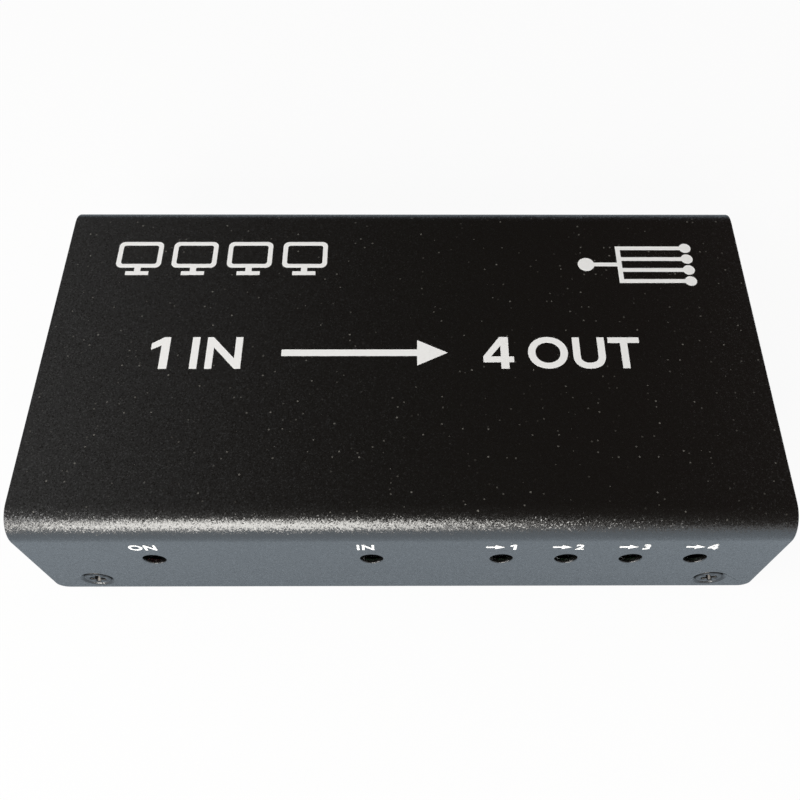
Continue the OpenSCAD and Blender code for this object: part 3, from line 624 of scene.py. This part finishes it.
inner, outer = -SHEET - PAST, PAST
lamp_holes = copies("lamp_holes", rod(LAMP_HOLE / 2, inner, outer), [(p, TO_FRONT) for p in lamp_places])
wide, narrow = COUNTERSINK / 2, COUNTERSINK / 2 - SHEET
sink_line = [(0, inner), (narrow, inner), (narrow, -SHEET), (wide + PAST, outer), (0, outer)]
screw_places = [((x, cover_low.y, screw_mid.z), TO_FRONT) for x in (-screw_x, screw_x)]
screw_places += [((x, cover_high.y, screw_mid.z), TO_REAR) for x in (-screw_x, screw_x)]
sinks = copies("sinks", turned("sink", sink_line), screw_places)
window = bmesh.new()
prism(window, rounded(socket_line(SHELL_WALL + WINDOW_GAP), WINDOW_CORNER), "Y", inner, outer)
window_places = [((p.x, cover_high.y, p.z), UPRIGHT) for p in socket_places]
windows = copies("windows", to_object("window", window), window_places)
port = copies("port", rod(JACK_HOLE / 2, inner, outer, steps=64), [(jack_axis, TO_REAR)])
waste = bmesh.new()
for side in (-1, 1):
    away = corner_waste((side * cover_high.x, cover_low.z), (-side, 1), LOWER_CORNER)
    prism(waste, away, "Y", cover_low.y - PAST, cover_high.y + PAST)
for cutter in (lamp_holes, sinks, windows, port, to_object("waste", waste)):
    combine(cover, cutter, "DIFFERENCE")
soften(cover, EDGE)
fit_on(cover, "case_paint", "top_cover")

# %% [markdown]
# ## The base tray
# A second strip makes the floor and the two end walls, with the same rule. Slots let warm air out of the
# ends, the top corners follow the cover's bends, and four small tabs, bent in from the end walls, carry the
# threads for the cover's screws. The tabs are joined on before the holes are cut.

# %% Tray
TRAY_BEND, TRAY_CORNER = 2.0, 3.8
TAB_REACH, TAB_GAP, TAB_TOP = 5.0, 0.5, 7.2
THREAD_R, COLLAR_R, COLLAR_L = 1.53, 2.43, 1.2
tray_low, tray_high, _ = box_mm("base_tray")
wall_x, floor_z = tray_high.x - SHEET / 2, tray_low.z + SHEET / 2
wall_line = [(wall_x, 0, floor_z), (wall_x, 0, tray_high.z)]
tray_line = [(-x, y, z) for x, y, z in wall_line[::-1]] + wall_line
tray_depth = tray_high.y - tray_low.y
tray = fold("base_tray_sheet", tray_line, TRAY_BEND - SHEET / 2, (SHEET, tray_depth), coat)
tabs, collars, threads = bmesh.new(), bmesh.new(), bmesh.new()
tab_low, tab_high = tray_low.z + SHEET + TAB_GAP, tray_low.z + SHEET + TAB_TOP
for side in (-1, 1):
    plate = rectangle((side * (screw_x - TAB_REACH), tab_low), (side * wall_x, tab_high))
    middle = (side * screw_x, screw_mid.z)
    for face in (tray_low.y, tray_high.y):
        way = -1 if face > 0 else 1
        collar_end = face + way * (SHEET + COLLAR_L)
        prism(tabs, plate, "Y", face, face + way * SHEET)
        prism(collars, circle(middle, COLLAR_R), "Y", face + way * SHEET / 2, collar_end)
        prism(threads, circle(middle, THREAD_R), "Y", face - way * PAST, collar_end + way * PAST)
for part in (to_object("tabs", tabs), to_object("collars", collars)):
    combine(tray, part, "UNION")
combine(tray, to_object("threads", threads), "DIFFERENCE")
print("tray is", round(tray_depth, 2), "mm deep")

# %% Tray holes
VENTS, VENT_STEP, VENT_W, VENT_L = 7, 5.0, 2.0, 12.0
STANDOFF, SHANK_HOLE = 6.0, 4.2
slot_top = (VENT_L - VENT_W) / 2
slot_line = arc((0, slot_top), VENT_W / 2, 0, 180) + arc((0, -slot_top), VENT_W / 2, 180, 360)
vent = bmesh.new()
prism(vent, slot_line, "X", -SHEET / 2 - PAST, SHEET / 2 + PAST)
vent_z = (tray_low.z + TRAY_BEND + tray_high.z) / 2
vent_ys = [(k - (VENTS - 1) / 2) * VENT_STEP for k in range(VENTS)]
vent_places = [((x, y, vent_z), UPRIGHT) for x in (-wall_x, wall_x) for y in vent_ys]
vents = copies("vents", to_object("vent", vent), vent_places)
post_low, post_high, _ = box_mm("board_standoffs")
post_x = post_high.x - STANDOFF / 2
post_ys = (post_low.y + STANDOFF / 2, post_high.y - STANDOFF / 2)
shank_places = [((x, y, tray_low.z), UPRIGHT) for x in (-post_x, post_x) for y in post_ys]
shanks = copies("shanks", rod(SHANK_HOLE / 2, -PAST, SHEET + PAST), shank_places)
waste = bmesh.new()
for side in (-1, 1):
    away = corner_waste((side * tray_high.y, tray_high.z), (-side, -1), TRAY_CORNER)
    prism(waste, away, "X", tray_low.x - PAST, tray_high.x + PAST)
for cutter in (vents, shanks, to_object("waste", waste)):
    combine(tray, cutter, "DIFFERENCE")
soften(tray, EDGE)
fit_on(tray, "case_paint", "base_tray")

# %% [markdown]
# ## Screws
# The case is held by four countersunk screws with a cross recess, two in front and two behind. One screw is
# turned from its half outline, in which the rim is an arc that touches both the flat top and the cone under
# it. The recess is a cross that narrows with depth. The copies rule sets four screws, each turned a little
# differently, as a hand leaves them.

# %% Screws
SCREW_SINK, SCREW_D, SCREW_L, SCREW_EDGE = 0.15, 3.0, 6.0, 0.08
RIM_R, TIP_CHAMFER = 0.25, 0.4
WING_L, WING_W = 1.6, 0.45
RECESS, RECESS_PAST, RECESS_FLOOR = 1.2, 0.2, 0.35
HAND_TURNS = (80, 23, 12, 51)
rim_x = SCREW_HEAD / 2 - RIM_R * (1 + math.sqrt(2))
rim = arc((rim_x, -RIM_R), RIM_R, 90, -45, 6)
shaft_r, cone_l = SCREW_D / 2, (SCREW_HEAD - SCREW_D) / 2
shaft = [(shaft_r, -cone_l), (shaft_r, TIP_CHAMFER - SCREW_L)]
tip = [(shaft_r - TIP_CHAMFER, -SCREW_L), (0, -SCREW_L)]
screw = turned("screw", [(0, 0), *rim, *shaft, *tip])
wing = [(WING_W, WING_W), (WING_W, WING_L), (-WING_W, WING_L)]
cross = [tuple(Matrix.Rotation(q * math.pi / 2, 2) @ Vector(p)) for q in range(4) for p in wing]
recess = bmesh.new()
prism(recess, cross, "Z", -RECESS, RECESS_PAST)
for corner in recess.verts:
    if corner.co.z < 0:
        corner.co.xy *= RECESS_FLOOR
combine(screw, to_object("recess", recess), "DIFFERENCE")
soften(screw, SCREW_EDGE)
turned_places = []
for (point, facing), angle in zip(screw_places, HAND_TURNS):
    sunk = Vector(point) - facing @ Vector((0, 0, SCREW_SINK))
    turned_places.append((sunk, facing @ Matrix.Rotation(math.radians(angle), 3, "Z")))
screws = copies("cover_screws", screw, turned_places, finishes["dark_screw"])
fit_on(screws, "dark_screw", "cover_screws_front", "cover_screws_rear")

# %% [markdown]
# ## Feet
# The feet are stick-on rubber buttons, moulded with a rounded edge and a shallow dish underneath, so that
# they grip with a ring. The half outline has an arc for the edge, and the copies rule sets four.

# %% Feet
FOOT_D, FOOT_EDGE, FOOT_SOFT = 8.0, 0.6, 0.1
DISH_R, DISH = 2.2, 0.3
foot_low, foot_high, _ = box_mm("rubber_feet")
foot_x, foot_y = foot_high.x - FOOT_D / 2, foot_high.y - FOOT_D / 2
foot_h = foot_high.z - foot_low.z
edge = arc((FOOT_D / 2 - FOOT_EDGE, FOOT_EDGE), FOOT_EDGE, -90, 0, 6)
dish = [(0, DISH), (DISH_R, DISH), (DISH_R + DISH, 0)]
foot = turned("foot", [*dish, *edge, (FOOT_D / 2, foot_h), (0, foot_h)])
soften(foot, FOOT_SOFT)
foot_places = [((x, y, foot_low.z), UPRIGHT) for x in (-foot_x, foot_x) for y in (-foot_y, foot_y)]
feet = copies("rubber_feet_moulded", foot, foot_places, finishes["foot_rubber"])
fit_on(feet, "foot_rubber", "rubber_feet")

# %% [markdown]
# ## Lamps
# Behind each hole stands a small lamp: a 3 mm lens with a round nose and a flange at its foot. The first
# lamp is red, the other five are green, so there are two pieces.

# %% Lamps
LENS_R, LENS_L, LENS_EDGE = 1.5, 4.2, 0.08
FLANGE_R, FLANGE_L = 1.9, 1.0
lamp_foot_y = box_mm("power_lamp")[1].y
nose = arc((0, LENS_L), LENS_R, 0, 90)
lens_line = [(0, 0), (FLANGE_R, 0), (FLANGE_R, FLANGE_L), (LENS_R, FLANGE_L), *nose]
for name, slot, first, last in (("power_lens", "lamp_red", 0, 1), ("signal_lenses", "lamp_green", 1, 6)):
    lens = turned("lens", lens_line, steps=32)
    soften(lens, LENS_EDGE)
    places = [((p.x, lamp_foot_y, p.z), TO_FRONT) for p in lamp_places[first:last]]
    fit_on(copies(name, lens, places, finishes[slot]), slot, *lamps[first:last])

# %% [markdown]
# ## Socket shells
# A video socket's shell is folded from thin plated strip, so the sheet rule makes it too, this time along a
# closed line. Two slots in its roof free two spring fingers, which dip into the opening, and four legs go
# down through the board. One shell is put together and copied five times.

# %% One shell with its fingers
SHELL_L, SHELL_BEND, SHELL_EDGE = 11.0, 0.5, 0.06
FINGER_X, FINGER_W, FINGER_GAP, FINGER_BEND = 3.3, 1.9, 0.35, 0.4
FINGER_ROOT, FINGER_TIP, FINGER_HEEL, FINGER_DIP, FINGER_RISE = -8.0, -3.0, 0.6, 0.45, 0.2
steel = finishes["socket_steel"]
half_wall, half_slot = SHELL_WALL / 2, FINGER_W / 2 + FINGER_GAP
shell_line = [(x, -SHELL_L / 2, z) for x, z in socket_line(half_wall)]
shell = fold("shell", shell_line, SHELL_BEND, (SHELL_L, SHELL_WALL), steel, closed=True, steps=5)
parts, slots = [shell], bmesh.new()
dipped = half_wall - FINGER_DIP
spring = [(FINGER_ROOT - SHELL_WALL, half_wall), (FINGER_TIP - FINGER_HEEL, dipped)]
spring.append((FINGER_TIP, dipped + FINGER_RISE))
for x in (-FINGER_X, FINGER_X):
    gap = rectangle((x - half_slot, FINGER_ROOT), (x + half_slot, FINGER_TIP + FINGER_GAP))
    prism(slots, gap, "Z", -PAST, PAST)
    finger = [(x, y, z) for y, z in spring]
    parts.append(fold("finger", finger, FINGER_BEND, (FINGER_W, SHELL_WALL), steel, steps=4))
combine(shell, to_object("slots", slots), "DIFFERENCE")
print("two fingers dip", FINGER_DIP, "mm into the opening")

# %% Legs and copies of the shell
LEG_W, LEG_YS = 1.4, (-3.5, -9.3)
shell_low, shell_high, _ = box_mm("socket_in_shell")
leg_low = shell_low.z - (shell_high.z - SHELL_WALL)
for x in (-OPENING_W / 2 - half_wall, OPENING_W / 2 + half_wall):
    for y in LEG_YS:
        leg = [(x, y, leg_low), (x, y, -OPENING_H / 2)]
        parts.append(fold("leg", leg, SHELL_BEND, (SHELL_WALL, LEG_W), steel))
whole = bmesh.new()
for part in parts:
    whole.from_mesh(part.data)
    bpy.data.objects.remove(part)
bmesh.ops.scale(whole, vec=(1 / MM,) * 3, verts=whole.verts)
shell = to_object("shell", whole)
soften(shell, SHELL_EDGE)
mouth_places = [((p.x, shell_high.y, p.z), UPRIGHT) for p in socket_places]
shells = copies("socket_shells", shell, mouth_places, steel)
fit_on(shells, "socket_steel", *[s + "_shell" for s in sockets])

# %% [markdown]
# ## The power jack
# The jack's housing is right in the CAD, but its edges are as sharp as a drawing. A copy of its mesh is
# merged, its flat triangles are joined to whole faces, and a bevel softens it as a mould would.

# %% Jack
JACK_MERGE, JACK_FLAT, JACK_EDGE = 0.001, 0.5, 0.15
body = bmesh.new()
body.from_mesh(frame["nodes"]["jack_housing"].data)
bmesh.ops.scale(body, vec=(1 / MM,) * 3, verts=body.verts)
bmesh.ops.remove_doubles(body, verts=body.verts, dist=JACK_MERGE)
bmesh.ops.dissolve_limit(body, angle_limit=math.radians(JACK_FLAT), verts=body.verts, edges=body.edges)
jack = to_object("jack_body", body, finishes["jack_plastic"])
soften(jack, JACK_EDGE)
fit_on(jack, "jack_plastic", "jack_housing")

# %% [markdown]
# ## Prints
# White marks are screen printed on the painted cover. On the top there is a line of plain lettering that
# says how many ways the signal goes, a row of small screens, and a line that parts into four. On the front
# and the rear, numbers and short words name the lamps and sockets. Each mark is a flat curve with a little
# depth, turned into a mesh, because text and curves only export well as meshes.

# %% Lettering helpers
INK_DEPTH = 0.05
LETTER_WEIGHT, LETTER_SPACE = 0.022, 1.08


def flat_mesh(curve):
    """The mesh of a flat curve or a text, with the ink's depth below zero height."""
    curve.extrude = INK_DEPTH / 2
    thing = new_object("mark", curve)
    graph = bpy.context.evaluated_depsgraph_get()
    mesh = bpy.data.meshes.new_from_object(thing.evaluated_get(graph))
    bpy.data.objects.remove(thing)
    mesh.transform(Matrix.Translation((0, 0, -INK_DEPTH / 2)))
    return mesh


def words(text, at, cap_height, share=0.5):
    """Lettering of one height, whose foot point lies at a share of its width."""
    letters = bpy.data.curves.new("words", "FONT")
    letters.body = text
    letters.offset = LETTER_WEIGHT
    letters.space_character = LETTER_SPACE
    mesh = flat_mesh(letters)
    xs, ys = ([v.co[axis] for v in mesh.vertices] for axis in (0, 1))
    foot = (min(xs) + (max(xs) - min(xs)) * share, min(ys), 0)
    size = cap_height / (max(ys) - min(ys))
    grown = Matrix.Diagonal((size, size, 1, 1)) @ Matrix.Translation(-Vector(foot))
    mesh.transform(Matrix.Translation((*at, 0)) @ grown)
    print(text, "is", round(size * (max(xs) - min(xs)), 1), "mm wide")
    return mesh


print("a letter's ink is", INK_DEPTH, "mm deep and lies", INK_PROUD, "mm proud")

# %% Helpers for drawn signs
# The font's own 1 is a bare stroke, and its 4 closes up when it is bold, so both are drawn, one unit high.
ONE = [[(0.16, 0), (0.38, 0), (0.38, 1), (0.22, 1), (-0.1, 0.8), (-0.1, 0.6), (0.16, 0.74)]]
FOUR = [
    [(0.46, 0), (0.67, 0), (0.67, 0.2), (0.8, 0.2), (0.8, 0.38), (0.67, 0.38), (0.67, 1), (0.44, 1),
     (0, 0.38), (0, 0.2), (0.46, 0.2)],
    [(0.46, 0.38), (0.46, 0.72), (0.2, 0.38)]]


def shapes(*outlines):
    """Filled outlines; one that lies inside another is a hole in it."""
    lines = bpy.data.curves.new("shapes", "CURVE")
    lines.dimensions = "2D"
    lines.fill_mode = "BOTH"
    for outline in outlines:
        line = lines.splines.new("POLY")
        line.points.add(len(outline) - 1)
        for point, (x, y) in zip(line.points, outline):
            point.co = (x, y, 0, 1)
        line.use_cyclic_u = True
    return flat_mesh(lines)


def drawn(outlines, at, height):
    """A sign from outlines that are one unit high, set at a point."""
    return shapes(*[[(at[0] + x * height, at[1] + y * height) for x, y in line] for line in outlines])


def arrow(tail, length, shaft, head):
    """Outline of an arrow to the right, with the widths of its shaft and its head."""
    neck, tip = tail[0] + length - head, tail[0] + length
    sides = [(tail[0], shaft / 2), (neck, shaft / 2), (neck, head / 2)]
    upper = [(x, tail[1] + y) for x, y in sides]
    lower = [(x, tail[1] - y) for x, y in sides]
    return [*upper, (tip, tail[1]), *lower[::-1]]


def print_on(name, marks, facing, face):
    """All the marks of one side as a piece, on the face that the point lies in."""
    film = bmesh.new()
    for mark in marks:
        film.from_mesh(mark)
    bmesh.ops.transform(film, matrix=facing.to_4x4(), verts=film.verts)
    bmesh.ops.translate(film, vec=face, verts=film.verts)
    piece = to_object(name, film, ink)
    fit_on(piece, None)


print("a drawn 4 has", sum(len(line) for line in FOUR), "corners")

# %% Lettering on the top
LINE_LEFT, LINE_RIGHT, LINE_FOOT, CAPITALS = -44.9, 42.9, -4.2, 6.9
IN_LEFT, FOUR_LEFT = -38.3, 14.4
ARROW_TAIL, ARROW_L, ARROW_SHAFT, ARROW_HEAD = -22.0, 30.0, 1.4, 0.8
marks = [drawn(ONE, (LINE_LEFT, LINE_FOOT), CAPITALS), drawn(FOUR, (FOUR_LEFT, LINE_FOOT), CAPITALS)]
marks.append(words("IN", (IN_LEFT, LINE_FOOT), CAPITALS, 0))
marks.append(words("OUT", (LINE_RIGHT, LINE_FOOT), CAPITALS, 1))
tail = (ARROW_TAIL, LINE_FOOT + CAPITALS / 2)
marks.append(shapes(arrow(tail, ARROW_L, ARROW_SHAFT, CAPITALS * ARROW_HEAD)))

# %% Small screens on the top
LINE_W = 0.9
SCREENS, SCREEN_STEP, SCREEN_LEFT, SCREEN_FOOT = 4, 10.6, -55.2, 17.2
SCREEN_W, SCREEN_H, SCREEN_R, GLASS_R = 8.6, 6.4, 1.1, 0.5
STAND_H, STAND_FOOT, STAND_NECK = 1.8, 2.2, 0.6
frame_low, frame_high = SCREEN_FOOT + STAND_H, SCREEN_FOOT + STAND_H + SCREEN_H
half_stand = [(STAND_FOOT, 0), (STAND_FOOT, LINE_W), (STAND_NECK, LINE_W), (STAND_NECK, STAND_H)]
stand = half_stand + [(-x, y) for x, y in half_stand[::-1]]
for k in range(SCREENS):
    left = SCREEN_LEFT + k * SCREEN_STEP
    right = left + SCREEN_W
    rim_line = rectangle((left, frame_low), (right, frame_high))
    glass_line = rectangle((left + LINE_W, frame_low + LINE_W), (right - LINE_W, frame_high - LINE_W))
    marks.append(shapes(rounded(rim_line, SCREEN_R), rounded(glass_line, GLASS_R)))
    marks.append(shapes([(left + SCREEN_W / 2 + x, SCREEN_FOOT + y) for x, y in stand]))
print(len(marks), "marks so far")

# %% Branching line on the top
WAYS, WAY_STEP, WAYS_MID = 4, 2.7, 19.8
TRUNK_X, BUS_X, WAY_END, TRUNK_R, BALL_R = 35.0, 41.0, 54.6, 1.6, 1.15
way_ys = [WAYS_MID + (k - (WAYS - 1) / 2) * WAY_STEP for k in range(WAYS)]
half = LINE_W / 2
notch = math.degrees(math.asin(half / TRUNK_R))
branch = [*arc((TRUNK_X, WAYS_MID), TRUNK_R, notch, 360 - notch, 20), (BUS_X, WAYS_MID - half)]
branch.append((BUS_X, way_ys[0] - half))
notch = 180 - math.degrees(math.asin(half / BALL_R))
for k, y in enumerate(way_ys):
    branch += arc((WAY_END, y), BALL_R, -notch, notch, 16)
    if k + 1 < WAYS:
        branch += [(BUS_X + LINE_W, y + half), (BUS_X + LINE_W, way_ys[k + 1] - half)]
branch += [(BUS_X, way_ys[-1] + half), (BUS_X, WAYS_MID + half)]
marks.append(shapes(branch))
print_on("top_print", marks, UPRIGHT, (0, 0, cover_high.z))

# %% Prints on the front and the rear
FRONT_LOW, REAR_LOW, LEGEND_H = 20.6, 20.2, 2.2
ON_X, IN_X = -43.9, -6.3
POINTER_BACK, POINTER_L, POINTER_SHAFT, POINTER_HEAD, NUMBER_AHEAD = 3.0, 3.2, 0.5, 0.75, 1.6


def number(value, at, height):
    """A number centred on a point, drawn or from the font."""
    if value in (1, 4):
        sign = ONE if value == 1 else FOUR
        across = max(x for x, _ in sign[0]) + min(x for x, _ in sign[0])
        return drawn(sign, (at[0] - across / 2 * height, at[1]), height)
    return words(str(value), at, height)


marks = [words("ON", (ON_X, FRONT_LOW), LEGEND_H), words("IN", (IN_X, FRONT_LOW), LEGEND_H)]
for k, place in enumerate(lamp_places[2:], start=1):
    tail = (place.x - POINTER_BACK, FRONT_LOW + LEGEND_H / 2)
    marks.append(shapes(arrow(tail, POINTER_L, POINTER_SHAFT, LEGEND_H * POINTER_HEAD)))
    marks.append(number(k, (place.x + NUMBER_AHEAD, FRONT_LOW), LEGEND_H))
print_on("front_print", marks, TO_FRONT, (0, cover_low.y, 0))
marks = [words("IN", (-socket_places[0].x, REAR_LOW), LEGEND_H)]
for k, place in enumerate(socket_places[1:], start=1):
    marks.append(number(k, (-place.x, REAR_LOW), LEGEND_H))
print_on("rear_print", marks, TO_REAR, (0, cover_high.y, 0))

# %% [markdown]
# ## The table
# The box stands on a plain white table that reaches past the picture, a hair below the feet, so that no two
# faces share a place. For the camera and for mirrors most of its white is its own glow, and the rest is lit
# and takes the box's shadow. Far away the glow is all of it. In mirrors the glow has a painted cool tint,
# a painted pool of light in front of the box and a painted shadow behind it.

# %% Table
TABLE_SIZE, TABLE_GAP = 6000, 0.02
GLOW_SHARE, SHADOW_R, WHITE_R = 0.93, 200, 800
LIT, SHADED, SHADE_REACH = 1.25, 0.5, 14.0
table = bmesh.new()
bmesh.ops.create_grid(table, x_segments=8, y_segments=8, size=TABLE_SIZE / 2)
bmesh.ops.translate(table, vec=(0, 0, -TABLE_GAP), verts=table.verts)
white, tree, _ = new_finish("white table laminate")
tree.nodes.clear()
rays = add(tree, "ShaderNodeLightPath").outputs
mirrored = maths(tree, "MAXIMUM", rays["Is Glossy Ray"], rays["Is Transmission Ray"])
seen = maths(tree, "MAXIMUM", rays["Is Camera Ray"], mirrored)
spot = add(tree, "ShaderNodeTexCoord").outputs["Object"]
away = add(tree, "ShaderNodeVectorMath", {0: spot}, operation="LENGTH").outputs["Value"]
glow_range = (SHADOW_R * MM, WHITE_R * MM)
glows = ranged(tree, away, glow_range, (GLOW_SHARE, 1), "SMOOTHSTEP")
share = maths(tree, "MULTIPLY", seen, glows)
matt = add(tree, "ShaderNodeBsdfDiffuse", {"Color": linear("#f2f2f2")}).outputs[0]
# Mirrors see the glow with a painted cool tint, and the camera sees it white.
painted_mirror_tint = blend(tree, rays["Is Camera Ray"], "#dcebf8", "#ffffff")
# Mirrors see a painted pool of light in front of the box and a painted shadow behind it.
to_rear = add(tree, "ShaderNodeSeparateXYZ", {"Vector": spot}).outputs["Y"]
shade_range = (cad_low.y - SHADE_REACH * MM, cad_low.y + SHADE_REACH * MM)
behind = ranged(tree, to_rear, shade_range, (LIT, SHADED))
level = add(tree, "ShaderNodeMix", {0: rays["Is Camera Ray"], 2: behind, 3: 1.0}).outputs[0]
glow = add(tree, "ShaderNodeEmission", {"Color": painted_mirror_tint, "Strength": level}).outputs[0]
mixed = add(tree, "ShaderNodeMixShader", {0: share, 1: matt, 2: glow}).outputs[0]
add(tree, "ShaderNodeOutputMaterial", {"Surface": mixed})
table = to_object("table", table, white)
print("table is", TABLE_SIZE * MM, "m wide")

# %% [markdown]
# ## Light for the picture
# A large soft lamp stands low at the front left, where it draws the sparkling line along the front bend. A
# second one on the left lights the end of the case, and a third one, behind on the right, lights its rear.

# %% Soft lamps
def softbox(name, at_mm, size_mm, watts, colour):
    """A rectangular lamp that looks at the middle of the box."""
    lamp = bpy.data.lights.new(name, "AREA")
    lamp.shape = "RECTANGLE"
    lamp.size, lamp.size_y = (side * MM for side in size_mm)
    lamp.energy = watts
    lamp.color = linear(colour)[:3]
    stand = new_object(name, lamp)
    stand.location = Vector(at_mm) * MM
    aim = Vector((0, 0, cover_mid.z)) * MM - stand.location
    stand.rotation_euler = aim.to_track_quat("-Z", "Y").to_euler()
    print(name, "gives", watts, "watts")


softbox("front_light", at_mm=(-125, -490, 250), size_mm=(300, 280), watts=2.75, colour="#fffdf8")
softbox("left_light", at_mm=(-520, -230, 300), size_mm=(420, 300), watts=2.2, colour="#ffffff")
softbox("rear_light", at_mm=(640, 470, 110), size_mm=(420, 200), watts=2.0, colour="#ffffff")

# %% [markdown]
# ## The room
# Black gloss shows what it mirrors, so the room decides how the top looks: dark in the middle, a little
# paler towards its left end. The ceiling therefore has a row of greys from left to right, which ends in
# white walls at both sides. Lower down there is a wall that is pale in front of the box and dim behind it.
# The camera itself sees plain white.

# %% Room
CEILING = (
    (0, "#ffffff"), (0.1, "#d8d8d8"), (0.3, "#828282"), (0.42, "#4c4845"), (0.5, "#3a3631"),
    (0.68, "#382c26"), (0.8, "#382c26"), (0.92, "#f0f0f0"), (1, "#ffffff"))
WALL_DIM, WALL_PALE = 0.3, -0.8
WALL_TOP, CEILING_LOW = 0.15, 0.4
room = bpy.data.worlds.new("room")
room.use_nodes = True
tree = room.node_tree
tree.nodes.clear()
way = add(tree, "ShaderNodeTexCoord").outputs["Generated"]
along = add(tree, "ShaderNodeSeparateXYZ", {"Vector": way}).outputs
across = ranged(tree, along["X"], (-1, 1))
ceiling = add(tree, "ShaderNodeValToRGB", {"Fac": across})
for at, _ in CEILING[1:-1]:
    ceiling.color_ramp.elements.new(at)
for stop, (at, grey) in zip(ceiling.color_ramp.elements, CEILING):
    stop.position = at
    stop.color = linear(grey)
ahead = ranged(tree, along["Y"], (WALL_DIM, WALL_PALE), easing="SMOOTHSTEP")
wall = blend(tree, ahead, "#5c5e62", "#eceef0")
above = ranged(tree, along["Z"], (WALL_TOP, CEILING_LOW), easing="SMOOTHSTEP")
shade = blend(tree, above, wall, ceiling.outputs[0])
camera_ray = add(tree, "ShaderNodeLightPath").outputs["Is Camera Ray"]
shade = blend(tree, camera_ray, shade, "#ffffff")
sky = add(tree, "ShaderNodeBackground", {"Color": shade, "Strength": 1.0}).outputs[0]
add(tree, "ShaderNodeOutputWorld", {"Surface": sky})
bpy.context.scene.world = room
bpy.context.scene.view_settings.view_transform = "Standard"
print("a room with", len(tree.nodes), "nodes")
